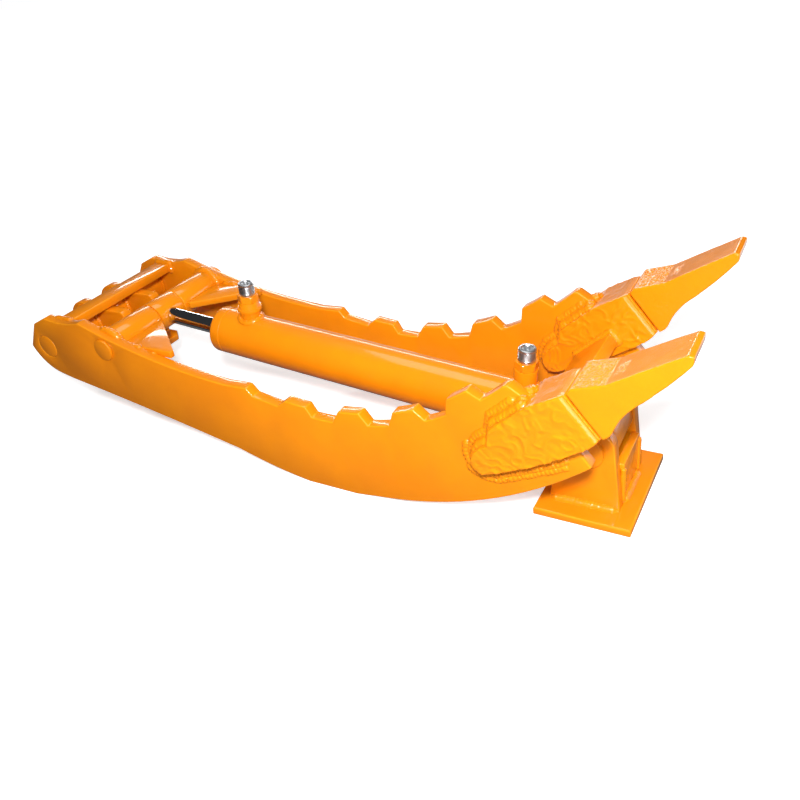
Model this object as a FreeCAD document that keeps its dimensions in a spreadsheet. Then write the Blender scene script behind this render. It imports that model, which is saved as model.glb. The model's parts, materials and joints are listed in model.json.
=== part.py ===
import FreeCAD, Part
# Excavator thumb: two toothed side plates carried on a weld-on hinge, moved by a hydraulic
# cylinder whose far end stands on a weld-on bracket. Lengths are in millimetres, +Z is up, +X runs
# from the hinge to the tooth tips. The origin is the middle of the hinge plate's weld-on face.
import os
import math
import Sketcher

# Sizes of the real object, each written once.
SIZES = {
    # where the pivots stand
    "pivot_x": -35.0, "pivot_rise": 80.0, "rod_pin_x": 160.2, "rod_pin_rise": 19.1,
    "foot_pin_x": 1000.0, "foot_pin_rise": -57.3, "ground_drop": -166.0,
    # side plates
    "overall_width": 300.0, "plate_thick": 20.0, "seat_gap": 0.3, "run_gap": 0.06,
    "arc_x": 615.0, "arc_rise": 413.0, "valley_rad": 445.0, "crest_rad": 424.0,
    "first_crest_rad": 428.5, "belly_rad": 579.0,
    "tooth_pitch": 13.3, "first_tooth": -10.84, "crest_start": 1.97, "crest_end": 7.1,
    "flank_foot": 8.36,
    # straight stretch of the lower edge that the thumb stands on, before and behind the jaw's centre
    "stand_front": 40.0, "stand_back": 52.0,
    # cross members
    "bar_wide": 34.0, "bar_thick": 17.0, "bar_x": 35.0, "bar_rise": 37.5,
    "cross_thick": 20.0, "cross_long": 72.0, "cross_tilt": 41.0,
    # pins, bosses and gussets
    "main_pin_dia": 44.0, "rod_pin_dia": 36.0, "rod_head_dia": 40.0, "rod_head_thick": 4.0,
    "boss_dia": 58.0, "eye_gap": 2.0, "gusset_thick": 12.0, "gusset_reach": 111.0,
    "end_washer_dia": 52.0, "end_washer_thick": 6.0, "end_bolt_dia": 12.0,
    # tooth and adapter
    "tooth_wide": 72.0, "tooth_tip_wide": 60.0, "tooth_long": 155.5, "tooth_high": 73.0,
    "pad_at": 10.5, "pad_long": 41.0,
    "tooth_tilt": 38.8, "root_x": 1031.0, "root_rise": 80.0,
    "nose_long": 88.0, "nose_high": 50.0, "nose_wide": 50.0, "nose_tip_high": 18.0,
    "nose_tip_wide": 32.0, "nose_gap": 0.6, "lock_pin_dia": 13.0, "lock_pin_at": 27.0,
    "lock_pin_long": 52.0,
    # hinge mount
    "ear_thick": 20.0, "ear_spread": 38.0, "ear_rad": 43.0, "hinge_plate_long": 150.0,
    "hinge_plate_wide": 150.0, "hinge_plate_thick": 12.0, "tube_dia": 64.0, "tube_wall": 6.0,
    "bush_wall": 4.0, "washer_thick": 3.4, "bush_long": 60.0,
    # cylinder, measured along its own axis from the rod pin
    "eye_dia": 59.0, "eye_wide": 60.0, "rod_dia": 30.0, "rod_start": 24.3,
    "barrel_dia": 82.5, "barrel_wall": 9.75, "barrel_start": 167.8, "barrel_end": 752.0,
    "gland_start": 146.0, "gland_end": 200.0, "gland_lip": 6.0,
    "piston_start": 640.0, "piston_long": 50.0, "nut_flats": 41.0, "nut_long": 22.0,
    "cap_thick": 14.0, "cap_spigot": 12.0, "foot_eye_dia": 76.0, "foot_eye_wide": 80.0,
    "foot_neck_high": 56.0, "foot_pin_dia": 40.0,
    # oil ports
    "head_port_at": 217.0, "base_port_at": 727.0, "port_boss_dia": 36.0, "port_boss_top": 72.0,
    "fitting_dia": 27.0, "fitting_bore": 15.0, "fitting_flats": 32.0, "fitting_hex": 12.0,
    "fitting_top": 106.0, "thread_dia": 21.6, "oil_hole": 12.0,
    # foot bracket
    "foot_plate_back": 931.0, "foot_plate_front": 1075.0, "foot_plate_wide": 192.0,
    "foot_plate_thick": 12.0, "foot_ear_thick": 20.0, "foot_ear_gap": 83.0, "foot_ear_rad": 42.0,
    "web_thick": 12.0, "foot_head_dia": 52.0, "foot_head_thick": 6.0,
    "keeper_bolt_dia": 10.0,
    "keeper_thick": 6.0, "keeper_wide": 28.0, "keeper_low": 58.0, "keeper_waist": 26.0,
    "keeper_bolt_drop": 44.0, "keeper_bolt_deep": 16.0, "keeper_slot_deep": 5.0,
    # welds and small parts
    "weld": 9.0, "adapter_weld": 14.0, "small_weld": 6.0, "nipple_dia": 8.0, "nipple_long": 12.0,
    # edges, corners and the depth of blind threads
    "corner_cut": 14.0, "edge_cut": 1.5, "small_edge": 1.0, "end_thread_deep": 32.0,
    "drill_point": 3.0, "rod_shoulder": 3.5, "seal_half": 7.0, "seal_groove": 3.2,
}

doc = FreeCAD.newDocument("thumb")
sheet = doc.addObject("Spreadsheet::Sheet", "dims")
sheet.Label = "dims"
for row, (alias, value) in enumerate(SIZES.items(), start=1):
    sheet.set("A%d" % row, alias)
    sheet.set("B%d" % row, str(value))
    sheet.setAlias("B%d" % row, alias)
doc.recompute()


def size(alias):
    return float(sheet.get(alias))


HALF = size("overall_width") / 2
INNER = HALF - size("plate_thick")
GAP = size("seat_gap")
RUN = size("run_gap")
MIDDLE = HALF - size("plate_thick") / 2
AXIS_TILT = math.degrees(math.atan2(size("rod_pin_rise") - size("foot_pin_rise"),
                                    size("foot_pin_x") - size("rod_pin_x")))
PIN_TO_PIN = math.hypot(size("rod_pin_rise") - size("foot_pin_rise"),
                        size("foot_pin_x") - size("rod_pin_x"))
V3 = FreeCAD.Vector
nodes = []


def place(x=0.0, y=0.0, z=0.0, tilt=0.0):
    """Placement from a point given about the main pivot; tilt lowers the +X end."""
    base = V3(size("pivot_x") + x, y, size("pivot_rise") + z)
    return FreeCAD.Placement(base, FreeCAD.Rotation(V3(0, 1, 0), tilt))


def along(x=0.0, y=0.0):
    """Placement at a distance along the cylinder's axis, turned with the cylinder."""
    turn = math.radians(AXIS_TILT)
    return place(size("rod_pin_x") + x * math.cos(turn), y,
                 size("rod_pin_rise") - x * math.sin(turn), AXIS_TILT)


def new_body(label, where):
    body = doc.addObject("PartDesign::Body", label)
    body.Label = label
    body.Placement = where
    nodes.append(body)
    return body


def origin_plane(body, role):
    return [part for part in body.Origin.OriginFeatures if part.Role == role][0]


def new_sketch(body, role, name, lift=0.0):
    sketch = body.newObject("Sketcher::SketchObject", name)
    sketch.AttachmentSupport = [(origin_plane(body, role), "")]
    sketch.MapMode = "FlatFace"
    sketch.AttachmentOffset = FreeCAD.Placement(V3(0, 0, lift), FreeCAD.Rotation())
    return sketch


def add_circle(sketch, x, y, expression):
    """Circle whose radius follows the sheet."""
    index = sketch.addGeometry(Part.Circle(V3(x, y, 0), V3(0, 0, 1), 10), False)
    at = sketch.addConstraint(Sketcher.Constraint("Radius", index, 10))
    sketch.addConstraint(Sketcher.Constraint("DistanceX", index, 3, x))
    sketch.addConstraint(Sketcher.Constraint("DistanceY", index, 3, y))
    sketch.setExpression("Constraints[%d]" % at, expression)


def add_path(sketch, path):
    """Closed outline. A pair is a corner; ('arc', mid, end) is an arc to the end."""
    start = path[0]
    here = start
    first = None
    last = None
    for step in path[1:] + [start]:
        if step[0] == "arc":
            mid, end = step[1], step[2]
            shape = Part.Arc(V3(here[0], here[1], 0), V3(mid[0], mid[1], 0), V3(end[0], end[1], 0))
        else:
            end = step
            if math.dist(here, end) < 1e-6:
                continue
            shape = Part.LineSegment(V3(here[0], here[1], 0), V3(end[0], end[1], 0))
        last = sketch.addGeometry(shape, False)
        if first is None:
            first = last
        here = end
    return sketch


def pad(body, sketch, expression, midplane=True, name="Pad"):
    doc.recompute()
    feature = body.newObject("PartDesign::Pad", name)
    feature.Profile = sketch
    feature.Midplane = midplane
    feature.setExpression("Length", expression)
    sketch.Visibility = False
    return feature


def pocket(body, sketch, expression=None, midplane=True, name="Pocket", reverse=False):
    doc.recompute()
    feature = body.newObject("PartDesign::Pocket", name)
    feature.Profile = sketch
    feature.Midplane = midplane
    feature.Reversed = reverse
    if expression is None:
        feature.Type = 1
    else:
        feature.setExpression("Length", expression)
    return feature


def block(label, where, path, expression, role="XZ_Plane", lift=0.0, midplane=True):
    """Plate or bar cut to an outline."""
    body = new_body(label, where)
    outline = add_path(new_sketch(body, role, label + "_outline", lift), path)
    pad(body, outline, expression, midplane, label + "_plate")
    return body


def hole(body, x, y, expression, role="XZ_Plane", name="hole"):
    """Round hole right through."""
    ring = new_sketch(body, role, body.Label + "_" + name)
    add_circle(ring, x, y, expression)
    return pocket(body, ring, name=body.Label + "_" + name + "_cut")


def ring(label, where, outer, inner, length, role="XZ_Plane", lift=0.0, midplane=True):
    """Round bar or tube; outer, inner and length are sheet expressions."""
    body = new_body(label, where)
    face = new_sketch(body, role, label + "_face", lift)
    add_circle(face, 0, 0, outer)
    if inner:
        add_circle(face, 0, 0, inner)
    pad(body, face, length, midplane, label + "_length")
    return body


def turned(label, where, profile, axis="X"):
    """Solid of revolution; the profile is (along, radius) for X and (radius, along) otherwise."""
    body = new_body(label, where)
    role = "XY_Plane" if axis == "Y" else "XZ_Plane"
    outline = add_path(new_sketch(body, role, label + "_profile"), profile)
    doc.recompute()
    spin = body.newObject("PartDesign::Revolution", label + "_turn")
    spin.Profile = outline
    spin.ReferenceAxis = (outline, ["H_Axis" if axis == "X" else "V_Axis"])
    spin.Angle = 360
    return body


def soften(body, feature, amount, pick):
    """Chamfer the edges that pick accepts."""
    doc.recompute()
    names = ["Edge%d" % (n + 1) for n, edge in enumerate(feature.Shape.Edges) if pick(edge)]
    cut = body.newObject("PartDesign::Chamfer", body.Label + "_edges")
    cut.Base = (feature, names)
    cut.setExpression("Size", amount)
    return cut


def solid_group(label, shapes, where):
    """Several like pieces in one node, each its own solid."""
    group = doc.addObject("Part::Feature", label)
    group.Label = label
    group.Shape = Part.makeCompound(shapes) if len(shapes) > 1 else shapes[0]
    group.Placement = where
    nodes.append(group)
    return group


def gather(label, bodies):
    """Like pieces that share one node, each still its own solid."""
    group = doc.addObject("Part::Compound", label)
    group.Label = label
    group.Links = bodies
    for body in bodies:
        nodes.remove(body)
    nodes.append(group)
    return group


def polar(angle, radius):
    """Point on an arc about the centre of the jaw's curve; angle 0 is straight down."""
    turn = math.radians(angle)
    return (size("arc_x") + radius * math.sin(turn), size("arc_rise") - radius * math.cos(turn))


# Side plates: straight arm, curved toothed jaw and a nose around the main pivot
def jaw_teeth():
    """Blunt teeth along the jaw, repeated by angle about the jaw's centre."""
    path = []
    angle = size("first_tooth")
    valley = size("valley_rad")
    for count in range(4):
        crest = size("first_crest_rad") if count == 0 else size("crest_rad")
        rise = angle + size("crest_start")
        fall = angle + size("crest_end")
        foot = angle + size("flank_foot")
        turn = angle + size("tooth_pitch")
        path.append(polar(rise, crest))
        path.append(("arc", polar((rise + fall) / 2, crest), polar(fall, crest)))
        path.append(polar(foot, valley))
        path.append(("arc", polar((foot + turn) / 2, valley), polar(turn, valley)))
        angle = turn
    return path


# The plate is cut off square to the tooth, under the adapter
FRONT_TOP = (962.0, 76.8)
FRONT_LOW = (1035.0, -14.0)
# Points of the plate's outline about the main pivot: nose, top of the arm, front corner, arm's belly
NOSE = [(-46.9, -4.3), (-15.0, 45.3), (20.3, 61.4), ("arc", (63.6, 56.6), (110.4, 63.6))]
ARM_TOP = [("arc", (262.0, 19.6), (428.1, -3.5)), (473.0, -1.7)]
FRONT_CORNER = [("arc", (920.5, 88.5), (927.0, 88.5)), (950.5, 73.5)]
BELLY_MID = (880.0, -112.0)
ARM_LOW = [("arc", (226.8, -95.0), (38.1, -62.4)), (10.2, -56.1), ("arc", (-27.0, -36.0), NOSE[0])]


def plate_outline():
    """Outline of a side plate about the main pivot."""
    valley = size("valley_rad")
    belly = size("belly_rad")
    path = NOSE + ARM_TOP + [polar(-17.0, valley + 3),
                             ("arc", polar(-14.0, valley + 1), polar(size("first_tooth"), valley))]
    path += jaw_teeth() + FRONT_CORNER
    path += [FRONT_TOP, FRONT_LOW, ("arc", BELLY_MID, polar(9.2, belly)),
             ("arc", polar(6.6, belly), (size("arc_x") + size("stand_front"), size("ground_drop"))),
             (size("arc_x") - size("stand_back"), size("ground_drop")),
             ("arc", polar(-12.2, belly), polar(-19.3, belly))]
    return path + ARM_LOW


def side_plate(label, side):
    body = block(label, place(0, side * MIDDLE, 0), plate_outline(), "dims.plate_thick")
    hole(body, 0, 0, "dims.main_pin_dia / 2 + dims.run_gap", name="pivot")
    hole(body, size("rod_pin_x"), size("rod_pin_rise"), "dims.rod_pin_dia / 2 + dims.run_gap",
         name="rod_pin")
    return body


for label, side in (("side_plate_right", -1), ("side_plate_left", 1)):
    side_plate(label, side)


# Cross members between the side plates
BAR = [(size("bar_x"), size("bar_rise")), (size("bar_x") + size("bar_wide"), size("bar_rise")),
       (size("bar_x") + size("bar_wide"), size("bar_rise") + size("bar_thick")),
       (size("bar_x"), size("bar_rise") + size("bar_thick"))]
block("nose_cross_bar", place(), BAR, "dims.overall_width - 2 * dims.plate_thick - 2 * dims.seat_gap")

LEG_FACE = HALF - size("plate_thick") / 2 - size("tooth_wide") / 2
CROSS_LOW = (937.0, -10.5)
half_thick = size("cross_thick") / 2
CROSS = [(0, -half_thick), (size("cross_long"), -half_thick), (size("cross_long"), half_thick),
         (0, half_thick)]
block("front_cross_plate", place(CROSS_LOW[0], 0, CROSS_LOW[1], -size("cross_tilt")), CROSS,
      "dims.overall_width - dims.plate_thick - dims.tooth_wide - 2 * dims.seat_gap")


# Main pivot pin, welded flush into the side plates
ring("main_pivot_pin", place(), "dims.main_pin_dia / 2", None, "dims.overall_width")

# Rod pin with its head on the right, and the bosses it runs through
ROD_PIN = (size("rod_pin_x"), size("rod_pin_rise"))
pin_r = size("rod_pin_dia") / 2
head_r = size("rod_head_dia") / 2
bolt_r = size("end_bolt_dia") / 2
thread_deep = size("end_thread_deep")
turned("rod_pin", place(ROD_PIN[0], 0, ROD_PIN[1]),
       [(0, -HALF - GAP - size("rod_head_thick")), (head_r - 1.2, -HALF - GAP - size("rod_head_thick")),
        (head_r, -HALF - GAP - size("rod_head_thick") + 1.2), (head_r, -HALF - GAP), (pin_r, -HALF - GAP),
        (pin_r, HALF + GAP), (bolt_r + GAP, HALF + GAP), (bolt_r + GAP, HALF - thread_deep - 2),
        (0, HALF - thread_deep - 2 - size("drill_point"))], "Y")
washer_r = size("end_washer_dia") / 2
washer_face = HALF + 2 * GAP
washer_out = washer_face + size("end_washer_thick")
turned("rod_pin_end_washer", place(ROD_PIN[0], 0, ROD_PIN[1]),
       [(bolt_r + GAP, washer_face), (washer_r, washer_face), (washer_r, washer_out - 1),
        (washer_r - 1, washer_out), (bolt_r + GAP, washer_out)], "Y")


def hexagon(flats, turn=0.0):
    corner = flats / 2 / math.cos(math.radians(30))
    return [(corner * math.cos(math.radians(60 * n + turn)), corner * math.sin(math.radians(60 * n + turn)))
            for n in range(6)]


def bolt(label, where, shank_r, shank_long, flats, head_high, point_y):
    """Hexagon bolt lying along Y with its head outermost."""
    body = turned(label, where, [(0, point_y), (shank_r - 1, point_y), (shank_r, point_y + 1),
                                 (shank_r, point_y + shank_long), (0, point_y + shank_long)], "Y")
    head = add_path(new_sketch(body, "XZ_Plane", label + "_hex", -(point_y + shank_long)), hexagon(flats))
    doc.recompute()
    raised = body.newObject("PartDesign::Pad", label + "_head")
    raised.Profile = head
    raised.Length = head_high
    raised.Reversed = True
    return body


bolt("rod_pin_end_bolt", place(ROD_PIN[0], 0, ROD_PIN[1]), bolt_r, washer_out - HALF + thread_deep + GAP,
     1.5 * size("end_bolt_dia"), 0.62 * size("end_bolt_dia"), HALF - thread_deep)

BOSS_END = size("eye_wide") / 2 + size("eye_gap")
boss_long = INNER - GAP - BOSS_END
for label, side in (("rod_pin_boss_right", -1), ("rod_pin_boss_left", 1)):
    ring(label, place(ROD_PIN[0], side * (BOSS_END + boss_long / 2), ROD_PIN[1]), "dims.boss_dia / 2",
         "dims.rod_pin_dia / 2 + dims.run_gap",
         "dims.overall_width / 2 - dims.plate_thick - dims.seat_gap - dims.eye_wide / 2 - dims.eye_gap")

# Triangular gussets from the bosses to the side plates, level with the rod pin
boss_r = size("boss_dia") / 2
for label, side in (("boss_gusset_right", -1), ("boss_gusset_left", 1)):
    near = boss_r + GAP
    outline = [(near, side * (INNER - GAP)), (near + size("gusset_reach"), side * (INNER - GAP)),
               (near + size("gusset_reach"), side * (INNER - 9)), (near + 8, side * (BOSS_END + 6)),
               (near, side * (BOSS_END + 6))]
    block(label, place(ROD_PIN[0], 0, ROD_PIN[1]), outline, "dims.gusset_thick", "XY_Plane")


# Forked adapters welded over the jaw ends, each with a wedge nose for its tooth
def root_point(x, z):
    """Point in the tooth's own axes to the thumb's axes about the pivot."""
    turn = math.radians(size("tooth_tilt"))
    return (size("root_x") + x * math.cos(turn) - z * math.sin(turn),
            size("root_rise") + x * math.sin(turn) + z * math.cos(turn))


half_high = size("tooth_high") / 2
LEG = [root_point(-GAP, half_high), root_point(-GAP, -half_high), (1039.0, 35.5),
       ("arc", (972.0, -7.5), (905.0, -39.5)), ("arc", (882.0, -39.0), (876.0, -24.0)),
       ("arc", (882.0, -9.0), (900.5, 4.5)), (905.5, 33.5), (959.5, 80.5)]


def shifted(path):
    """Outline moved from the thumb's axes to the tooth's own axes."""
    turn = math.radians(size("tooth_tilt"))

    def one(p):
        x, z = p[0] - size("root_x"), p[1] - size("root_rise")
        return (x * math.cos(turn) + z * math.sin(turn), -x * math.sin(turn) + z * math.cos(turn))
    return [("arc", one(step[1]), one(step[2])) if step[0] == "arc" else one(step) for step in path]


def wedge(path_role_body, name, gap, subtract):
    """Nose of the adapter, or with a gap the pocket of the tooth, as a loft to the tip."""
    body = path_role_body
    sections = []
    for tag, at, wide, high in (("base", -GAP if not subtract else -1.0, "nose_wide", "nose_high"),
                                ("tip", size("nose_long") + gap, "nose_tip_wide", "nose_tip_high")):
        w = size(wide) / 2 + gap
        h = size(high) / 2 + gap
        face = new_sketch(body, "YZ_Plane", name + "_" + tag, at)
        add_path(face, [(-w, -h), (w, -h), (w, h), (-w, h)])
        sections.append(face)
    doc.recompute()
    kind = "PartDesign::SubtractiveLoft" if subtract else "PartDesign::AdditiveLoft"
    loft = body.newObject(kind, name + "_loft")
    loft.Profile = sections[0]
    loft.Sections = [sections[1]]
    loft.Ruled = True
    return loft


def lock_hole(body):
    """Hole for the lock pin, driven from below and blind under the tooth's top face."""
    lock = new_sketch(body, "XY_Plane", body.Label + "_lock", size("lock_pin_long") / 2 + GAP)
    add_circle(lock, size("lock_pin_at"), 0, "dims.lock_pin_dia / 2 + dims.seat_gap")
    pocket(body, lock, "dims.lock_pin_long + dims.tooth_high", False, body.Label + "_lock_cut")


def tooth_axes(side):
    return place(size("root_x"), side * MIDDLE, size("root_rise"), -size("tooth_tilt"))


slot_front = max(point[0] for point in shifted([FRONT_TOP, FRONT_LOW])) + size("edge_cut")
slot_reach = 2 * size("tooth_long")
for label, side in (("tooth_adapter_right", -1), ("tooth_adapter_left", 1)):
    body = block(label, tooth_axes(side), shifted(LEG), "dims.tooth_wide")
    wedge(body, label + "_nose", 0.0, False)
    slot = new_sketch(body, "XZ_Plane", label + "_slot")
    add_path(slot, [(-slot_reach, -slot_reach), (slot_front, -slot_reach), (slot_front, slot_reach),
                    (-slot_reach, slot_reach)])
    pocket(body, slot, "dims.plate_thick + 2 * dims.seat_gap", name=label + "_slot_cut")
    lock_hole(body)


# Bucket teeth: cast shells with a steep flat pad on top near the root and a thin blunt tip
pad_start = size("pad_at")
pad_end = pad_start + size("pad_long")
tip = size("tooth_long")
TOOTH = [(0, half_high - 1.5), (pad_start, half_high + 2.5), (pad_end, 22.8),
         ("arc", (104.0, 15.6), (tip - 4.5, 8.3)), (tip, 3.2), (tip - 7.0, -4.7),
         ("arc", (110.0, -12.4), (72.0, -17.2)), ("arc", (42.0, -22.0), (18.5, -33.8)),
         (12.0, -half_high), (0, -half_high)]
tip_half = size("tooth_tip_wide") / 2
root_half = size("tooth_wide") / 2
for label, side in (("bucket_tooth_right", -1), ("bucket_tooth_left", 1)):
    body = block(label, tooth_axes(side), TOOTH, "dims.tooth_wide")
    for hand in (-1, 1):
        cheek = new_sketch(body, "XY_Plane", label + "_cheek%d" % (hand + 1))
        add_path(cheek, [(14.0, hand * (root_half + 1)), (14.0, hand * root_half),
                         (size("tooth_long") + 2, hand * tip_half),
                         (size("tooth_long") + 2, hand * (root_half + 1))])
        pocket(body, cheek, name=label + "_cheek_cut%d" % (hand + 1))
    wedge(body, label + "_pocket", size("nose_gap"), True)
    lock_hole(body)

gather("tooth_lock_pins", [
    ring("lock_pin_" + hand, tooth_axes(side).multiply(
        FreeCAD.Placement(V3(size("lock_pin_at"), 0, 0), FreeCAD.Rotation())),
        "dims.lock_pin_dia / 2", None, "dims.lock_pin_long", "XY_Plane")
    for hand, side in (("right", -1), ("left", 1))])


# Hinge mount: weld-on plate with two ears and a bushed tube that turns on the main pivot pin
ear_r = size("ear_rad")
plate_top = -size("pivot_rise") + size("hinge_plate_thick")
plate_back = -size("pivot_x") - size("hinge_plate_long") / 2
plate_front = plate_back + size("hinge_plate_long")
ear_top = size("bar_rise") - 3.5
EAR = [(plate_back + 8, plate_top + GAP), (plate_front - 3, plate_top + GAP),
       (plate_front - 2, ear_top - 12), ("arc", (plate_front - 5.5, ear_top - 3.5),
                                         (plate_front - 14, ear_top)), (20.0, ear_top),
       ("arc", (2.0, ear_r - 1.5), (-14.0, math.sqrt(ear_r ** 2 - 14.0 ** 2))),
       ("arc", (-ear_r * math.cos(0.6), ear_r * math.sin(0.6)), (-ear_r, -6.0))]
for label, side in (("hinge_ear_right", -1), ("hinge_ear_left", 1)):
    body = block(label, place(0, side * size("ear_spread"), 0), EAR, "dims.ear_thick")
    hole(body, 0, 0, "dims.tube_dia / 2 + dims.seat_gap", name="tube")

half_wide = size("hinge_plate_wide") / 2
body = block("hinge_base_plate", place(), [(plate_back, plate_top - size("hinge_plate_thick")),
                                           (plate_front, plate_top - size("hinge_plate_thick")),
                                           (plate_front, plate_top), (plate_back, plate_top)],
             "dims.hinge_plate_wide")
soften(body, body.Tip, "dims.corner_cut", lambda edge: abs(edge.tangentAt(edge.FirstParameter).z) > 0.99)

tube_half = INNER - GAP - size("washer_thick") - GAP
tube_r = size("tube_dia") / 2
ring("hinge_tube", place(), "dims.tube_dia / 2", "dims.tube_dia / 2 - dims.tube_wall",
     "dims.overall_width - 2 * dims.plate_thick - 4 * dims.seat_gap - 2 * dims.washer_thick")
main_r = size("main_pin_dia") / 2
gather("hinge_bushes", [
    ring("hinge_bush_" + hand, place(0, side * (tube_half - size("bush_long") / 2), 0),
         "dims.tube_dia / 2 - dims.tube_wall", "dims.main_pin_dia / 2 + dims.run_gap", "dims.bush_long")
    for hand, side in (("right", -1), ("left", 1))])
gather("hinge_washers", [
    ring("hinge_washer_" + hand, place(0, side * (INNER - GAP - size("washer_thick") / 2), 0),
         "dims.tube_dia / 2 + 3", "dims.main_pin_dia / 2 + dims.seat_gap", "dims.washer_thick")
    for hand, side in (("right", -1), ("left", 1))])


def nipple(label, where, foot):
    """Grease nipple standing along its own Z from the height foot."""
    r = size("nipple_dia") / 2
    top = foot + size("nipple_long")
    return turned(label, where, [(0, foot), (r, foot), (r, foot + 4), (r - 1.4, foot + 5.5),
                                 (r - 1.4, foot + 7), (r - 0.6, foot + 8.5), (r - 0.6, foot + 10),
                                 (r - 2.4, top), (0, top)], "Z")


def upside(where):
    return where.multiply(FreeCAD.Placement(V3(0, 0, 0), FreeCAD.Rotation(V3(1, 0, 0), 180)))


nipple("hinge_grease_nipple", upside(place()), tube_r + GAP)


# Cylinder rod: eye with its bush, chromed rod, piston, seal and nut
eye_r = size("eye_dia") / 2
rod_r = size("rod_dia") / 2
body = ring("rod_eye", along(), "dims.eye_dia / 2", "dims.rod_pin_dia / 2 + dims.bush_wall",
            "dims.eye_wide")
socket = new_sketch(body, "YZ_Plane", "rod_eye_socket", size("rod_start") - GAP)
add_circle(socket, 0, 0, "dims.rod_dia / 2 + dims.seat_gap")
pocket(body, socket, "dims.eye_dia / 2", False, "rod_eye_socket_cut", True)
ring("rod_eye_bush", along(), "dims.rod_pin_dia / 2 + dims.bush_wall",
     "dims.rod_pin_dia / 2 + dims.run_gap", "dims.eye_wide")
nipple("rod_eye_grease_nipple", upside(along()), eye_r + GAP)

piston_face = size("piston_start")
piston_back = piston_face + size("piston_long")
nut_face = piston_back + GAP
nut_back = nut_face + size("nut_long")
spigot_r = rod_r - size("rod_shoulder")
turned("piston_rod", along(), [(size("rod_start"), 0), (size("rod_start"), rod_r - 1),
                               (size("rod_start") + 1, rod_r), (piston_face - GAP, rod_r),
                               (piston_face - GAP, spigot_r), (nut_back + 2, spigot_r),
                               (nut_back + 4, spigot_r - 2), (nut_back + 4, 0)])
bore_r = size("barrel_dia") / 2 - size("barrel_wall")
groove = bore_r - size("seal_groove")
seal_half = size("seal_half")
middle = (piston_face + piston_back) / 2
seal_from = middle - seal_half
seal_to = middle + seal_half
turned("piston", along(), [(piston_face, spigot_r + RUN), (piston_face, bore_r - 2.5),
                           (piston_face + 2, bore_r - RUN), (seal_from, bore_r - RUN),
                           (seal_from, groove), (seal_to, groove), (seal_to, bore_r - RUN),
                           (piston_back - 2, bore_r - RUN), (piston_back, bore_r - 2.5),
                           (piston_back, spigot_r + RUN)])
turned("piston_seal", along(), [(seal_from + GAP, groove + RUN), (seal_from + GAP, bore_r - RUN),
                                (seal_to - GAP, bore_r - RUN), (seal_to - GAP, groove + RUN)])
body = block("piston_nut", along(), hexagon(size("nut_flats")), "dims.nut_long", "YZ_Plane", nut_face,
             False)
hole(body, 0, 0, "dims.rod_dia / 2 - dims.rod_shoulder + dims.seat_gap", "YZ_Plane", "thread")


# Barrel: tube, gland with its bush and seals, end cap and eye
barrel_r = size("barrel_dia") / 2
body = ring("barrel_tube", along(), "dims.barrel_dia / 2", "dims.barrel_dia / 2 - dims.barrel_wall",
            "dims.barrel_end - dims.barrel_start", "YZ_Plane", size("barrel_start"), False)
for tag, at in (("head", "head_port_at"), ("base", "base_port_at")):
    drill = new_sketch(body, "XY_Plane", "oil_hole_" + tag)
    add_circle(drill, size(at), 0, "dims.oil_hole / 2")
    pocket(body, drill, "dims.barrel_dia", False, "oil_hole_cut_" + tag, True)

seal_r = rod_r + size("seal_groove")
wipe_r = rod_r + 5.0
g0 = size("gland_start")
g1 = size("gland_end")
lip = size("gland_lip")
turned("cylinder_gland", along(), [
    (g0, wipe_r), (g0, barrel_r - lip), ("arc", (g0 + lip * 0.29, barrel_r - lip * 0.29),
                                         (g0 + lip, barrel_r)),
    (size("barrel_start") - GAP, barrel_r), (size("barrel_start") - GAP, bore_r - RUN),
    (g1, bore_r - RUN), (g1, rod_r + 1), (g1 - 5, rod_r + 1), (g1 - 5, seal_r), (g0 + 9, seal_r),
    (g0 + 9, wipe_r)])
turned("rod_wiper", along(), [(g0 - 1.5, rod_r + RUN), (g0 - 1.5, rod_r + 2.4), (g0 + 1, wipe_r - RUN),
                              (g0 + 9 - GAP, wipe_r - RUN), (g0 + 9 - GAP, rod_r + RUN)])
turned("rod_seal", along(), [(g0 + 9 + GAP, rod_r + RUN), (g0 + 9 + GAP, seal_r - RUN),
                             (g0 + 19, seal_r - RUN), (g0 + 19, rod_r + RUN)])
turned("gland_bush", along(), [(g0 + 19 + GAP, rod_r + RUN), (g0 + 19 + GAP, seal_r - RUN),
                               (g1 - 5 - GAP, seal_r - RUN), (g1 - 5 - GAP, rod_r + RUN)])

tube_end = size("barrel_end")
cap_end = tube_end + GAP + size("cap_thick")
turned("barrel_end_cap", along(), [
    (tube_end - size("cap_spigot"), 0), (tube_end - size("cap_spigot"), bore_r - RUN - 1),
    (tube_end - size("cap_spigot") + 1, bore_r - RUN), (tube_end + GAP, bore_r - RUN),
    (tube_end + GAP, barrel_r), (cap_end - 2, barrel_r), (cap_end, barrel_r - 2), (cap_end, 0)])
foot_r = size("foot_eye_dia") / 2
neck = size("foot_neck_high") / 2
reach = math.sqrt(foot_r ** 2 - neck ** 2)
body = block("barrel_eye", along(PIN_TO_PIN), [
    (cap_end + GAP - PIN_TO_PIN, -neck), (-reach, -neck), ("arc", (foot_r, 0), (-reach, neck)),
    (cap_end + GAP - PIN_TO_PIN, neck)], "dims.foot_eye_wide")
hole(body, 0, 0, "dims.foot_pin_dia / 2 + dims.bush_wall", name="bore")
ring("barrel_eye_bush", along(PIN_TO_PIN), "dims.foot_pin_dia / 2 + dims.bush_wall",
     "dims.foot_pin_dia / 2 + dims.run_gap", "dims.foot_eye_wide")
nipple("barrel_eye_grease_nipple", upside(along(PIN_TO_PIN)), foot_r + GAP)

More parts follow.
